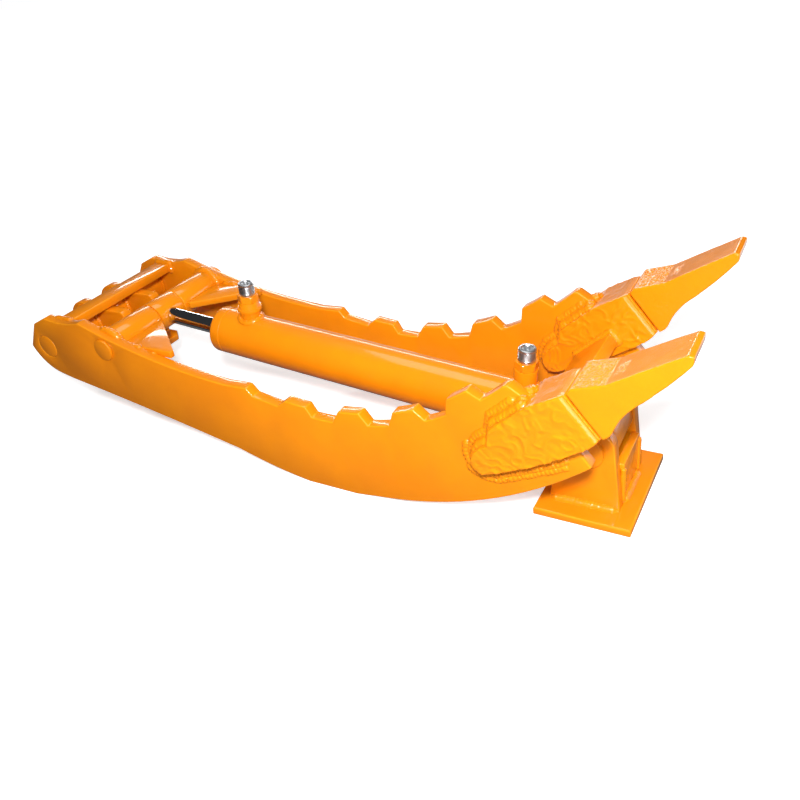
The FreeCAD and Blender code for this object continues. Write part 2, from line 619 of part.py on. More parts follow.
# Oil ports: weld boss saddled on the tube, plated adapter fitting screwed into it
port_r = size("port_boss_dia") / 2
thread_r = size("thread_dia") / 2
port_top = size("port_boss_top")
for tag, at in (("head", "head_port_at"), ("base", "base_port_at")):
    body = ring("port_boss_" + tag, along(size(at)), "dims.port_boss_dia / 2",
                "dims.thread_dia / 2 + dims.run_gap", "dims.port_boss_top - dims.barrel_dia / 4",
                "XY_Plane", barrel_r / 2, False)
    if tag == "head":
        collar = new_sketch(body, "XY_Plane", "port_collar", port_top - 17)
        add_circle(collar, 0, 0, "dims.port_boss_dia / 2 + 3")
        add_circle(collar, 0, 0, "dims.thread_dia / 2 + dims.run_gap")
        pad(body, collar, "6", False, "port_collar_raise")
    saddle = new_sketch(body, "YZ_Plane", "port_saddle_" + tag)
    add_circle(saddle, 0, 0, "dims.barrel_dia / 2 + dims.seat_gap")
    pocket(body, saddle, name="port_saddle_cut_" + tag)
    bore = size("fitting_bore") / 2
    neck_r = size("fitting_dia") / 2
    hex_foot = port_top + GAP
    hex_top = hex_foot + size("fitting_hex")
    top = size("fitting_top")
    body = turned("port_fitting_" + tag, along(size(at)), [
        (bore, port_top - 20), (thread_r - 1, port_top - 20), (thread_r, port_top - 19),
        (thread_r, hex_foot + 1), (neck_r - 1.5, hex_foot + 1), (neck_r - 1.5, hex_top + 2),
        (neck_r, hex_top + 3), (neck_r, top - 1.2), (neck_r - 1.2, top), (bore + 2.5, top),
        (bore, top - 4)], "Z")
    nut = new_sketch(body, "XY_Plane", "fitting_hex_" + tag, hex_foot)
    add_path(nut, hexagon(size("fitting_flats")))
    add_circle(nut, 0, 0, "dims.fitting_bore / 2")
    pad(body, nut, "dims.fitting_hex", False, "fitting_hex_raise_" + tag)


# Foot bracket: weld-on plate, two ears, web, pin and keeper
FOOT = (size("foot_pin_x"), size("foot_pin_rise"))
ground = size("ground_drop")
floor_top = ground + size("foot_plate_thick")
back = size("foot_plate_back")
front = size("foot_plate_front")
body = block("foot_base_plate", place(), [(back, ground), (front, ground), (front, floor_top),
                                          (back, floor_top)], "dims.foot_plate_wide")
soften(body, body.Tip, "dims.edge_cut", lambda edge: edge.BoundBox.ZMin > floor_top - 1)

ear_rad = size("foot_ear_rad")
low = floor_top + GAP - FOOT[1]
FOOT_EAR = [(back + 14 - FOOT[0], low), (50.0, low), (ear_rad * math.cos(0.35), ear_rad * math.sin(0.35)),
            ("arc", (ear_rad * math.cos(1.7), ear_rad * math.sin(1.7)),
             (ear_rad * math.cos(3.05), ear_rad * math.sin(3.05)))]
pin_foot_r = size("foot_pin_dia") / 2
ear_mid = size("foot_ear_gap") / 2 + size("foot_ear_thick") / 2
for label, side in (("foot_ear_right", -1), ("foot_ear_left", 1)):
    body = block(label, place(FOOT[0], side * ear_mid, FOOT[1]), FOOT_EAR, "dims.foot_ear_thick")
    hole(body, 0, 0, "dims.foot_pin_dia / 2 + dims.run_gap", name="pin")
    if side > 0:
        hole(body, 0, -size("keeper_bolt_drop"), "dims.keeper_bolt_dia / 2 + dims.run_gap",
             name="keeper_bolt")

WEB_X = 1037.0
web_top = FOOT[1] - 26
block("foot_web", place(), [(WEB_X, floor_top + GAP), (WEB_X + size("web_thick"), floor_top + GAP),
                            (WEB_X + size("web_thick"), web_top), (WEB_X, web_top)],
      "dims.foot_ear_gap - 2 * dims.seat_gap")
ear_out = size("foot_ear_gap") / 2 + size("foot_ear_thick")
foot_head = size("foot_head_dia") / 2
slot_low = ear_out + GAP
slot_high = slot_low + size("keeper_thick")
slot_r = pin_foot_r - size("keeper_slot_deep")
turned("foot_pin", place(FOOT[0], 0, FOOT[1]), [
    (0, -ear_out - GAP - size("foot_head_thick")), (foot_head - 1.5, -ear_out - GAP - size("foot_head_thick")),
    (foot_head, -ear_out - GAP - size("foot_head_thick") + 1.5), (foot_head, -ear_out - GAP),
    (pin_foot_r, -ear_out - GAP), (pin_foot_r, slot_low), (slot_r, slot_low),
    (slot_r, slot_high), (pin_foot_r, slot_high), (pin_foot_r, slot_high + 5),
    (pin_foot_r - 2, slot_high + 7), (0, slot_high + 7)], "Y")
keep = slot_r + GAP
wing = keep + 7
half_keeper = size("keeper_wide") / 2
keeper_low = size("keeper_low")
waist = size("keeper_waist")
bolt_drop = size("keeper_bolt_drop")
bolt_point = ear_out - size("keeper_bolt_deep")
body = block("foot_pin_keeper", place(FOOT[0], slot_low + size("keeper_thick") / 2, FOOT[1]), [
    (-half_keeper, -keeper_low), (half_keeper, -keeper_low), (wing, -waist), (wing, 0.0), (keep, 0.0),
    ("arc", (0.0, -keep), (-keep, 0.0)), (-wing, 0.0), (-wing, -waist)],
    "dims.keeper_thick - dims.seat_gap")
hole(body, 0, -bolt_drop, "dims.keeper_bolt_dia / 2 + dims.seat_gap", name="bolt")
bolt("foot_keeper_bolt", place(FOOT[0], 0, FOOT[1] - bolt_drop), size("keeper_bolt_dia") / 2,
     slot_high + GAP - bolt_point, 1.6 * size("keeper_bolt_dia"), 0.63 * size("keeper_bolt_dia"),
     bolt_point)


# Weld beads, laid in the corners between the plates they join
def path_wire(path, y):
    """The same outline as a wire standing in the XZ plane at y."""
    edges = []
    here = path[0]
    for step in path[1:] + [path[0]]:
        if step[0] == "arc":
            mid, end = step[1], step[2]
            edges.append(Part.Arc(V3(here[0], y, here[1]), V3(mid[0], y, mid[1]),
                                  V3(end[0], y, end[1])).toShape())
        else:
            end = step
            if math.dist(here, end) > 1e-6:
                edges.append(Part.makeLine(V3(here[0], y, here[1]), V3(end[0], y, end[1])))
        here = end
    return Part.Wire(edges)


def round_bead(path, face_y, out, weld, keep_on):
    """Two passes laid around an outline on a face at face_y, kept on the face they stick to."""
    inner = Part.Face(path_wire(path, face_y))
    bed = Part.Face(path_wire(keep_on, face_y))
    layers = []
    for reach, high in ((weld, 0.5 * weld), (0.55 * weld, weld)):
        wide = inner.makeOffset2D(reach).cut(inner.makeOffset2D(GAP)).common(bed)
        layers.append(wide.extrude(V3(0, out * high, 0)))
    return layers[0].fuse(layers[1]).removeSplitter()


def fillet_bead(start, end, side, rise, weld):
    """Straight bead from start to end; side and rise point along the two faces it joins."""
    a = V3(*start)
    u = V3(*side)
    v = V3(*rise)
    p = a + u * weld
    q = a + v * weld
    bulge = a + (u + v) * (0.6 * weld)
    section = Part.Wire([Part.makeLine(a, p), Part.Arc(p, bulge, q).toShape(), Part.makeLine(q, a)])
    return Part.Face(section).extrude(V3(*end) - a)


def collar_bead(radius, foot, out, weld):
    """Ring bead about the Y axis, standing on the face at foot."""
    p = V3(radius, foot, 0)
    q = V3(radius + weld, foot, 0)
    r = V3(radius, foot + out * weld, 0)
    bulge = V3(radius + 0.6 * weld, foot + out * 0.6 * weld, 0)
    section = Part.Wire([Part.makeLine(p, q), Part.Arc(q, bulge, r).toShape(), Part.makeLine(r, p)])
    return Part.Face(section).revolve(V3(0, 0, 0), V3(0, 1, 0), 360)


def solids(shape):
    return [piece for piece in shape.Solids if piece.Volume > 50]


big = size("adapter_weld")
weld = size("weld")
small = size("small_weld")
for label, side in (("adapter_weld_right", -1), ("adapter_weld_left", 1)):
    beads = []
    for face_y, out in ((side * (HALF + GAP), side), (side * (INNER - GAP), -side)):
        beads += solids(round_bead(LEG, face_y, out, big, plate_outline()))
    solid_group(label, beads, place())

beads = []
for side in (-1, 1):
    collar = collar_bead(boss_r + GAP, side * (INNER - GAP), -side, weld)
    web = Part.makeBox(size("gusset_reach"), 2 * HALF, size("gusset_thick") + 2 * GAP,
                       V3(0, -HALF, -size("gusset_thick") / 2 - GAP))
    beads += solids(collar.cut(web))
solid_group("boss_welds", beads, place(ROD_PIN[0], 0, ROD_PIN[1]))

beads = []
for side in (-1, 1):
    for up in (-1, 1):
        foot = up * (size("gusset_thick") / 2 + GAP)
        beads.append(fillet_bead((boss_r + weld + 2, side * (INNER - GAP), foot),
                                 (boss_r + size("gusset_reach"), side * (INNER - GAP), foot),
                                 (0, -side, 0), (0, 0, up), weld * 0.8))
solid_group("gusset_welds", beads, place(ROD_PIN[0], 0, ROD_PIN[1]))

beads = []
for side in (-1, 1):
    beads += solids(round_bead(BAR, side * (INNER - GAP), -side, small, plate_outline()))
solid_group("nose_bar_welds", beads, place())


def turned_path(path, x, z, tilt):
    """Outline turned so that its own X axis rises by tilt, then moved to x, z."""
    turn = math.radians(tilt)
    return [(x + p[0] * math.cos(turn) - p[1] * math.sin(turn),
             z + p[0] * math.sin(turn) + p[1] * math.cos(turn)) for p in path]


CROSS_SET = turned_path(CROSS, CROSS_LOW[0], CROSS_LOW[1], size("cross_tilt"))
beads = []
for side in (-1, 1):
    beads += solids(round_bead(CROSS_SET, side * (LEG_FACE - GAP), -side, small, LEG))
solid_group("cross_plate_welds", beads, place())

beads = []
for middle_y in (-size("ear_spread"), size("ear_spread")):
    for side in (-1, 1):
        face = middle_y + side * (size("ear_thick") / 2 + GAP)
        beads.append(fillet_bead((plate_back + 9, face, plate_top + GAP),
                                 (plate_front - 5, face, plate_top + GAP),
                                 (0, side, 0), (0, 0, 1), weld))
solid_group("hinge_ear_welds", beads, place())

beads = []
for middle_y in (-ear_mid, ear_mid):
    for side in (-1, 1):
        face = middle_y + side * (size("foot_ear_thick") / 2 + GAP)
        last = WEB_X - 2 if side * middle_y < 0 else FOOT[0] + 49.0
        beads.append(fillet_bead((back + 15, face, floor_top + GAP), (last, face, floor_top + GAP),
                                 (0, side, 0), (0, 0, 1), weld))
web_front = WEB_X + size("web_thick") + GAP
half_gap = size("foot_ear_gap") / 2 - GAP
beads.append(fillet_bead((web_front, -half_gap, floor_top + GAP), (web_front, half_gap, floor_top + GAP),
                         (1, 0, 0), (0, 0, 1), weld))
solid_group("foot_bracket_welds", beads, place())

tube = Part.makeCylinder(barrel_r + GAP, 2 * size("port_boss_top"), V3(-size("port_boss_top"), 0, 0),
                         V3(1, 0, 0))
beads = []
for at in ("head_port_at", "base_port_at"):
    p = V3(port_r + GAP, 0, barrel_r - 12)
    q = V3(port_r + small, 0, barrel_r - 12)
    r = V3(port_r + small, 0, barrel_r + 0.5)
    top = V3(port_r + GAP, 0, barrel_r + small)
    bulge = V3(port_r + 0.75 * small, 0, barrel_r + 0.7 * small)
    section = Part.Wire([Part.makeLine(p, q), Part.makeLine(q, r), Part.Arc(r, bulge, top).toShape(),
                         Part.makeLine(top, p)])
    ring_bead = Part.Face(section).revolve(V3(0, 0, 0), V3(0, 0, 1), 360)
    for bead in solids(ring_bead.cut(tube)):
        bead.translate(V3(size(at), 0, 0))
        beads.append(bead)
solid_group("port_welds", beads, along())


# Every node is checked and written to its own file
doc.recompute()
os.makedirs("parts", exist_ok=True)
for node in nodes:
    bad = [step.Label for step in [node] + list(getattr(node, "Group", []))
           if "Invalid" in step.State or "Error" in step.State]
    if bad:
        raise RuntimeError("failed: %s" % bad)
    if node.Shape.isNull() or not node.Shape.isValid():
        raise RuntimeError("bad shape: %s" % node.Label)
    node.Shape.exportStep("parts/%s.step" % node.Label)
    box = node.Shape.BoundBox
    print("%-26s %9.0f mm3  %d solid  x %.1f %.1f  y %.1f %.1f  z %.1f %.1f" % (
        node.Label, node.Shape.Volume, len(node.Shape.Solids), box.XMin, box.XMax, box.YMin, box.YMax,
        box.ZMin, box.ZMax))
print("nodes", len(nodes))
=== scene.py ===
# %% [markdown]
# # An excavator thumb
#
# The real object is a welded steel claw: two toothed side plates, a bolted-on pair of cast bucket
# teeth, a weld-on hinge at one end and a hydraulic cylinder between the plates. Almost everything
# is under one thick coat of gloss orange enamel. Only the chromed rod and the two threaded port
# fittings are bare metal.
#
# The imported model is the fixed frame. Each step below gives one kind of piece its finish: plates
# get softened flame-cut edges, castings get sand texture, welds get real ripples, and turned parts
# get their threads and chamfers.

# %% Load the frame
import json
import math
import bmesh
import bpy
from mathutils import Matrix, Vector, noise


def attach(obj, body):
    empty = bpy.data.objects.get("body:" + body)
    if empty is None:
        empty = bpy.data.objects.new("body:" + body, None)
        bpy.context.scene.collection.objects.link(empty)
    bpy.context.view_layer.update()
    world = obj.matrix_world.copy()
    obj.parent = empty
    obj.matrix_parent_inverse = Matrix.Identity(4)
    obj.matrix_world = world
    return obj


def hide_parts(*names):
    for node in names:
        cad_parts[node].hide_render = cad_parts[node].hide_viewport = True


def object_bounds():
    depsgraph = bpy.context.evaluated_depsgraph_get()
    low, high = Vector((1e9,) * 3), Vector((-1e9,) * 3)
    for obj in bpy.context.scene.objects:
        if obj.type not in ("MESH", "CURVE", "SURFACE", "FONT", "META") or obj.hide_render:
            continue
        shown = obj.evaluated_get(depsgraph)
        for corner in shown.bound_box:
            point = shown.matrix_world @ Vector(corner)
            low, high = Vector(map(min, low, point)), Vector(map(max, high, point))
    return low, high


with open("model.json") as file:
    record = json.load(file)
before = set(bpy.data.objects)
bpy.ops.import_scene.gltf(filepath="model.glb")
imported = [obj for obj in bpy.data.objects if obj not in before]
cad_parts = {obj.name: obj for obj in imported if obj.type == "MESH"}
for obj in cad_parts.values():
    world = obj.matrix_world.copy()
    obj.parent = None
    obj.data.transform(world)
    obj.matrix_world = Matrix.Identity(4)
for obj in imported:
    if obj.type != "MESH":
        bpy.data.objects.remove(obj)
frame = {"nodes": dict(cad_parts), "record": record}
cad_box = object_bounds()
nodes = frame["nodes"]
body_of_node = {node: body for body, names in frame["record"]["behaviour"]["bodies"].items()
                for node in names}
MM = 0.001
noise.seed_set(7)  # noise vectors start from this seed, so that every run gives the same castings

# %% [markdown]
# ## Camera and light
#
# The camera stands where the photographer stood: near the tooth end, about a metre and a half
# away and looking down by some thirty degrees. Its place was worked out from the straight edges
# of the side plates, so it is written as a position and three axes.
#
# The light is a studio with one key lamp near the tooth end, so the paint darkens towards the
# hinge. A wide lamp overhead fills the faces that look up, and a long strip low behind the part
# draws the thin bright line along the cylinder. Three windows at the right are there for what gloss
# paint mirrors: the tooth tops, the cut ends and the adapters' front rims.

# %% Place the camera
camera_data = bpy.data.cameras.new("camera")
camera_data.sensor_width = 36.0
camera_data.lens = 35.375
camera = bpy.data.objects.new("camera", camera_data)
bpy.context.scene.collection.objects.link(camera)
camera_right = Vector((0.8707, 0.4769, -0.1203))
camera_up = Vector((-0.1701, 0.5216, 0.8361))
camera_back = Vector((0.4615, -0.7075, 0.5352))
camera_place = Matrix((camera_right, camera_up, camera_back)).transposed().to_4x4()
camera_place.translation = Vector((1.2344, -0.9284, 0.7041))
camera.matrix_world = camera_place
bpy.context.scene.camera = camera
print("camera", [round(value, 3) for value in camera.location])


# %% Hang the lamps
def hex_to_linear(text):
    """A colour written as sRGB hex, as the linear RGBA that Blender's sockets take."""
    parts = [int(text[at:at + 2], 16) / 255 for at in (1, 3, 5)]
    linear = [part / 12.92 if part <= 0.04045 else ((part + 0.055) / 1.055) ** 2.4 for part in parts]
    return (*linear, 1.0)


def panel(name, place, target, wide, high, watts, tint="#FFFFFF"):
    """A soft rectangular lamp that faces the target."""
    lamp = bpy.data.lights.new(name, "AREA")
    lamp.shape = "RECTANGLE"
    lamp.size = wide
    lamp.size_y = high
    lamp.energy = watts
    lamp.color = hex_to_linear(tint)[:3]
    holder = bpy.data.objects.new(name, lamp)
    bpy.context.scene.collection.objects.link(holder)
    holder.location = place
    holder.rotation_euler = (Vector(target) - Vector(place)).to_track_quat("-Z", "Y").to_euler()
    holder.visible_camera = False
    return holder


panel("key", Vector((1.27, -1.02, 0.98)), Vector((0.85, -0.1, 0.05)), 0.14, 0.14, 33)
panel("overhead", Vector((0.35, 0.35, 2.3)), Vector((0.4, 0.0, 0.0)), 1.3, 1.3, 16)
panel("back_strip", Vector((-0.6, 2.0, 0.96)), Vector((0.5, 0.0, 0.1)), 2.6, 0.18, 18)
panel("far_window", Vector((2.28, 1.66, 0.26)), Vector((1.0, -0.1, 0.15)), 1.3, 0.5, 6)
panel("side_window", Vector((2.6, -1.35, 0.72)), Vector((1.0, -0.1, 0.1)), 1.3, 0.9, 5)
panel("low_window", Vector((1.92, -1.94, 0.20)), Vector((1.0, -0.15, 0.12)),
      0.8, 0.45, 7)
print("lamps hung")


# %% [markdown]
# ## Floor and room
#
# Catalogue photographs of such parts have a pure white ground. Here the floor is a pale board
# that lies just under the lowest plate and keeps the soft shadow. What the camera sees of the
# floor and the room is white by way of the Light Path node, so no extra light falls on the paint.
# For gloss and chrome the same floor is dark under the near side and bright behind the part, as in
# the photograph, where the rod is nearly black with one white line.

# %% Lay the floor
def add_node(tree, kind, links=None, **settings):
    """One node with its settings; links names the input sockets and what feeds or fills them."""
    node = tree.nodes.new(kind)
    for key, value in settings.items():
        setattr(node, key, value)
    for socket, source in (links or {}).items():
        if isinstance(source, bpy.types.NodeSocket):
            tree.links.new(source, node.inputs[socket])
        else:
            node.inputs[socket].default_value = source
    return node


world = bpy.data.worlds.new("white_room")
bpy.context.scene.world = world
world.use_nodes = True
tree = world.node_tree
tree.nodes.clear()
path = add_node(tree, "ShaderNodeLightPath")
room = add_node(tree, "ShaderNodeBackground", {"Color": hex_to_linear("#FFFFFF"), "Strength": 0.09})
dark = add_node(tree, "ShaderNodeBackground", {"Color": hex_to_linear("#FFFFFF"), "Strength": 0.035})
white = add_node(tree, "ShaderNodeBackground", {"Color": hex_to_linear("#FFFFFF"), "Strength": 1.0})
mixed = add_node(tree, "ShaderNodeMixShader",
                 {0: path.outputs["Is Glossy Ray"], 1: room.outputs[0], 2: dark.outputs[0]})
mixed = add_node(tree, "ShaderNodeMixShader",
                 {0: path.outputs["Is Camera Ray"], 1: mixed.outputs[0], 2: white.outputs[0]})
add_node(tree, "ShaderNodeOutputWorld", {"Surface": mixed.outputs[0]})

floor_material = bpy.data.materials.new("studio_board")
floor_material.use_nodes = True
tree = floor_material.node_tree
tree.nodes.clear()
path = add_node(tree, "ShaderNodeLightPath")
board = add_node(tree, "ShaderNodeBsdfDiffuse", {"Color": hex_to_linear("#F2F2F2")})
spot = add_node(tree, "ShaderNodeTexCoord")
away = add_node(tree, "ShaderNodeVectorMath", {0: spot.outputs["Object"], 1: (0.5, 0.0, 0.0)},
                operation="DISTANCE")
lifted = add_node(tree, "ShaderNodeMapRange", {"Value": away.outputs["Value"], "From Min": 0.6,
                                               "From Max": 2.2, "To Min": 0.5, "To Max": 1.0})
glow = add_node(tree, "ShaderNodeEmission", {"Color": hex_to_linear("#FFFFFF"),
                                             "Strength": lifted.outputs["Result"]})
lift = add_node(tree, "ShaderNodeAddShader", {0: board.outputs[0], 1: glow.outputs[0]})
back = add_node(tree, "ShaderNodeSeparateXYZ", {0: spot.outputs["Object"]}).outputs[1]
under = add_node(tree, "ShaderNodeMapRange", {"Value": back, "From Min": -0.16, "From Max": -0.09,
                                              "To Min": 0.03, "To Max": 0.12}).outputs["Result"]
behind = add_node(tree, "ShaderNodeMapRange", {"Value": back, "From Min": 0.2, "From Max": 0.6,
                                               "To Min": 0.0, "To Max": 0.8}).outputs["Result"]
mirrored = add_node(tree, "ShaderNodeMath", {0: under, 1: behind}, operation="ADD").outputs[0]
shade = add_node(tree, "ShaderNodeEmission", {"Color": hex_to_linear("#FFFFFF"), "Strength": mirrored})
bounce = add_node(tree, "ShaderNodeBsdfDiffuse", {"Color": hex_to_linear("#A0A0A0")})
mixed = add_node(tree, "ShaderNodeMixShader",
                 {0: path.outputs["Is Glossy Ray"], 1: bounce.outputs[0], 2: shade.outputs[0]})
mixed = add_node(tree, "ShaderNodeMixShader",
                 {0: path.outputs["Is Camera Ray"], 1: mixed.outputs[0], 2: lift.outputs[0]})
add_node(tree, "ShaderNodeOutputMaterial", {"Surface": mixed.outputs[0]})

floor_mesh = bpy.data.meshes.new("floor")
reach = 12.0
floor_mesh.from_pydata([(x, y, cad_box[0].z - 0.3 * MM) for x, y in
                        ((-reach, -reach), (reach, -reach), (reach, reach), (-reach, reach))],
                       [], [(0, 1, 2, 3)])
floor_mesh.materials.append(floor_material)
floor = bpy.data.objects.new("floor", floor_mesh)
bpy.context.scene.collection.objects.link(floor)
bpy.context.scene.view_settings.view_transform = "Standard"
print("floor at", round(cad_box[0].z, 4))

# %% [markdown]
# ## Enamel
#
# The paint is a two-pack gloss enamel sprayed over blasted mill plate. A spray gun leaves two marks that the
# eye reads as real paint: orange peel (shallow dimples about two millimetres apart) and slow changes of depth
# where passes overlap. The bevelled edges also get a paler colour, which is a painted highlight.
# A clear coat layer on the shader stands for the glossy skin over the pigment.
#
# The same enamel covers plates, welds and castings, so one function makes all three, and only the
# relief under the film changes. Patterns read Object coordinates, because each finished piece's
# object sits at the origin with its place in its mesh.

# %% Mix the enamel
ENAMEL = "#F18D0B"
ENAMEL_DEEP = "#EA8509"
# Paler orange used as a painted highlight along bevelled edges.
ENAMEL_EDGE_HIGHLIGHT = "#FBA01C"


def noise_at(tree, where, millimetres, detail=3.0, roughness=0.5, distortion=0.0):
    """Noise whose features are about this many millimetres apart."""
    return add_node(tree, "ShaderNodeTexNoise", {"Vector": where, "Scale": 1.0 / (millimetres * MM),
                                                 "Detail": detail, "Roughness": roughness,
                                                 "Distortion": distortion})


def remap(tree, value, low, high, to_low=0.0, to_high=1.0):
    """A value stretched from one range to another, held at the ends."""
    return add_node(tree, "ShaderNodeMapRange", {"Value": value, "From Min": low, "From Max": high,
                                                 "To Min": to_low, "To Max": to_high}).outputs["Result"]


def blend_colour(tree, factor, first, second):
    """Two colours mixed; first and second are hex text or sockets."""
    mix = add_node(tree, "ShaderNodeMix", data_type="RGBA")
    for socket, source in ((0, factor), (6, first), (7, second)):
        if isinstance(source, str):
            source = hex_to_linear(source)
        if isinstance(source, bpy.types.NodeSocket):
            tree.links.new(source, mix.inputs[socket])
        else:
            mix.inputs[socket].default_value = source
    return mix.outputs[2]


def bumped(tree, height, millimetres, strength=1.0, under=None):
    """Bump of this depth in millimetres, laid over another normal if one is given."""
    links = {"Height": height, "Distance": millimetres * MM, "Strength": strength}
    if under is not None:
        links["Normal"] = under
    return add_node(tree, "ShaderNodeBump", links).outputs["Normal"]


def new_material(name, **base):
    """A material with its Principled shader, and the Object coordinates to pattern it."""
    material = bpy.data.materials.new(name)
    material.use_nodes = True
    tree = material.node_tree
    shader = tree.nodes["Principled BSDF"]
    for socket, value in base.items():
        shader.inputs[socket.replace("_", " ")].default_value = value
    where = add_node(tree, "ShaderNodeTexCoord").outputs["Object"]
    return material, tree, shader, where


def enamel(name, relief_spacing, relief_depth, peel_depth=0.05, cut_edges=False):
    """Gloss orange enamel; the relief is what shows of the steel or casting beneath."""
    material, tree, shader, where = new_material(
        name, Roughness=0.34, IOR=1.5, Specular_IOR_Level=0.18, Coat_Weight=0.75,
        Coat_Roughness=0.07, Coat_IOR=1.5)
    passes = noise_at(tree, where, 260.0, detail=2.0)
    cloud = noise_at(tree, where, 60.0, detail=4.0, roughness=0.6)
    depth = add_node(tree, "ShaderNodeMath", {0: passes.outputs["Fac"], 1: cloud.outputs["Fac"]},
                     operation="ADD").outputs[0]
    colour = blend_colour(tree, remap(tree, depth, 0.8, 1.25), ENAMEL, ENAMEL_DEEP)
    # Bevelled edge faces turn a paler orange: a painted highlight, with its strength varied by noise.
    edge = add_node(tree, "ShaderNodeAttribute", attribute_name="edge").outputs["Fac"]
    highlight_spread = remap(tree, noise_at(tree, where, 40.0, detail=3.0).outputs["Fac"], 0.3, 0.7, 0.25, 0.6)
    edge_highlight = add_node(tree, "ShaderNodeMath", {0: edge, 1: highlight_spread}, operation="MULTIPLY").outputs[0]
    colour = blend_colour(tree, edge_highlight, colour, ENAMEL_EDGE_HIGHLIGHT)
    dust = remap(tree, noise_at(tree, where, 9.0, detail=8.0, roughness=0.75).outputs["Fac"],
                 0.6, 0.75, 0.0, 0.06)
    colour = blend_colour(tree, dust, colour, "#F0A44A")
    tree.links.new(colour, shader.inputs["Base Color"])
    tree.links.new(remap(tree, cloud.outputs["Fac"], 0.35, 0.7, 0.28, 0.42), shader.inputs["Roughness"])
    steel = noise_at(tree, where, relief_spacing, detail=5.0, roughness=0.6)
    normal = bumped(tree, steel.outputs["Fac"], relief_depth)
    if cut_edges:
        normal = cut_marks(tree, where, normal)
    peel = noise_at(tree, where, 2.2, detail=1.5)
    normal = bumped(tree, peel.outputs["Fac"], peel_depth, under=normal)
    tree.links.new(normal, shader.inputs["Normal"])
    wet = bumped(tree, noise_at(tree, where, 3.4, detail=1.0).outputs["Fac"], peel_depth * 0.7)
    tree.links.new(wet, shader.inputs["Coat Normal"])
    return material


def cut_marks(tree, where, under):
    """Drag lines that the cutting flame leaves through the thickness of a plate.

    They run across the plate, so they vary along its outline and not along Y, and they show
    only on faces that look along the outline.
    """
    split = add_node(tree, "ShaderNodeSeparateXYZ", {0: where})
    flat = add_node(tree, "ShaderNodeCombineXYZ", {0: split.outputs[0], 2: split.outputs[2]})
    lines = noise_at(tree, flat.outputs[0], 2.4, detail=3.0, roughness=0.65)
    facing = add_node(tree, "ShaderNodeNewGeometry").outputs["Normal"]
    across = add_node(tree, "ShaderNodeSeparateXYZ", {0: facing}).outputs[1]
    side_on = add_node(tree, "ShaderNodeMath", {0: across}, operation="ABSOLUTE").outputs[0]
    shown = remap(tree, side_on, 0.3, 0.7, 1.0, 0.0)
    height = add_node(tree, "ShaderNodeMath", {0: lines.outputs["Fac"], 1: shown},
                      operation="MULTIPLY").outputs[0]
    return bumped(tree, height, 0.35, under=under)


# Enamel has IOR 1.5. Plate shows mill scale 14 mm apart, weld and casting a grit of about 3 mm.
plate_enamel = enamel("gloss_enamel_on_plate", 14.0, 0.10, cut_edges=True)
weld_enamel = enamel("gloss_enamel_on_weld", 3.0, 0.35, peel_depth=0.08)
cast_enamel = enamel("gloss_enamel_on_sand_casting", 2.6, 0.42, peel_depth=0.06)
print("enamels", [material.name for material in (plate_enamel, weld_enamel, cast_enamel)])

# %% [markdown]
# ## Bare metals and rubber
#
# Hard chrome on the rod is a mirror with the faintest grinding rings around it. The port fittings
# are bright zinc-plated steel, turned and then tumbled, so they are softer and slightly blotchy.
# Pins and washers are turned steel with a film of oil, bushes are bronze, and the wiper and seals
# are nitrile rubber.

# %% Make the bare materials
def turned_metal(name, colour, shade, roughness, ring_spacing, ring_depth, blotch=9.0):
    """Metal off the lathe: fine rings and a slow change of tone."""
    material, tree, shader, where = new_material(name, Metallic=1.0, Roughness=roughness)
    stain = noise_at(tree, where, blotch, detail=4.0, roughness=0.6)
    tone = blend_colour(tree, remap(tree, stain.outputs["Fac"], 0.35, 0.7), colour, shade)
    tree.links.new(tone, shader.inputs["Base Color"])
    spread = remap(tree, stain.outputs["Fac"], 0.3, 0.7, roughness * 0.8, roughness * 1.35)
    tree.links.new(spread, shader.inputs["Roughness"])
    grain = noise_at(tree, where, ring_spacing, detail=6.0, roughness=0.7)
    tree.links.new(bumped(tree, grain.outputs["Fac"], ring_depth), shader.inputs["Normal"])
    return material


# Chromium over ground steel: metallic, roughness 0.06, the brightest thing on the part.
hard_chrome = turned_metal("hard_chrome", "#E4E6E9", "#D6D9DE", 0.06, 1.2, 0.004, blotch=60.0)
# Zinc on turned steel: metallic, roughness 0.3, a cool grey with soft glints.
zinc = turned_metal("bright_zinc_plate", "#E4E5E6", "#C6C9CD", 0.30, 1.6, 0.02)
# Oiled carbon steel, bearing bronze and cast iron: metallic, roughness 0.32 to 0.42.
pin_steel = turned_metal("turned_pin_steel", "#8E9093", "#6E7073", 0.32, 1.0, 0.02)
bronze = turned_metal("bushing_bronze", "#C79A52", "#A87C3C", 0.34, 1.2, 0.02)
iron = turned_metal("piston_iron", "#6A6B6D", "#55565A", 0.42, 1.4, 0.03)

# Nitrile rubber: not a metal, IOR 1.52, roughness 0.6, black with a grey bloom.
rubber, tree, shader, where = new_material("nitrile_rubber", Roughness=0.6, IOR=1.52)
bloom = noise_at(tree, where, 4.0, detail=5.0)
tree.links.new(blend_colour(tree, remap(tree, bloom.outputs["Fac"], 0.4, 0.7), "#141416", "#27272A"),
               shader.inputs["Base Color"])
tree.links.new(bumped(tree, bloom.outputs["Fac"], 0.08), shader.inputs["Normal"])
print("bare materials", len(bpy.data.materials))

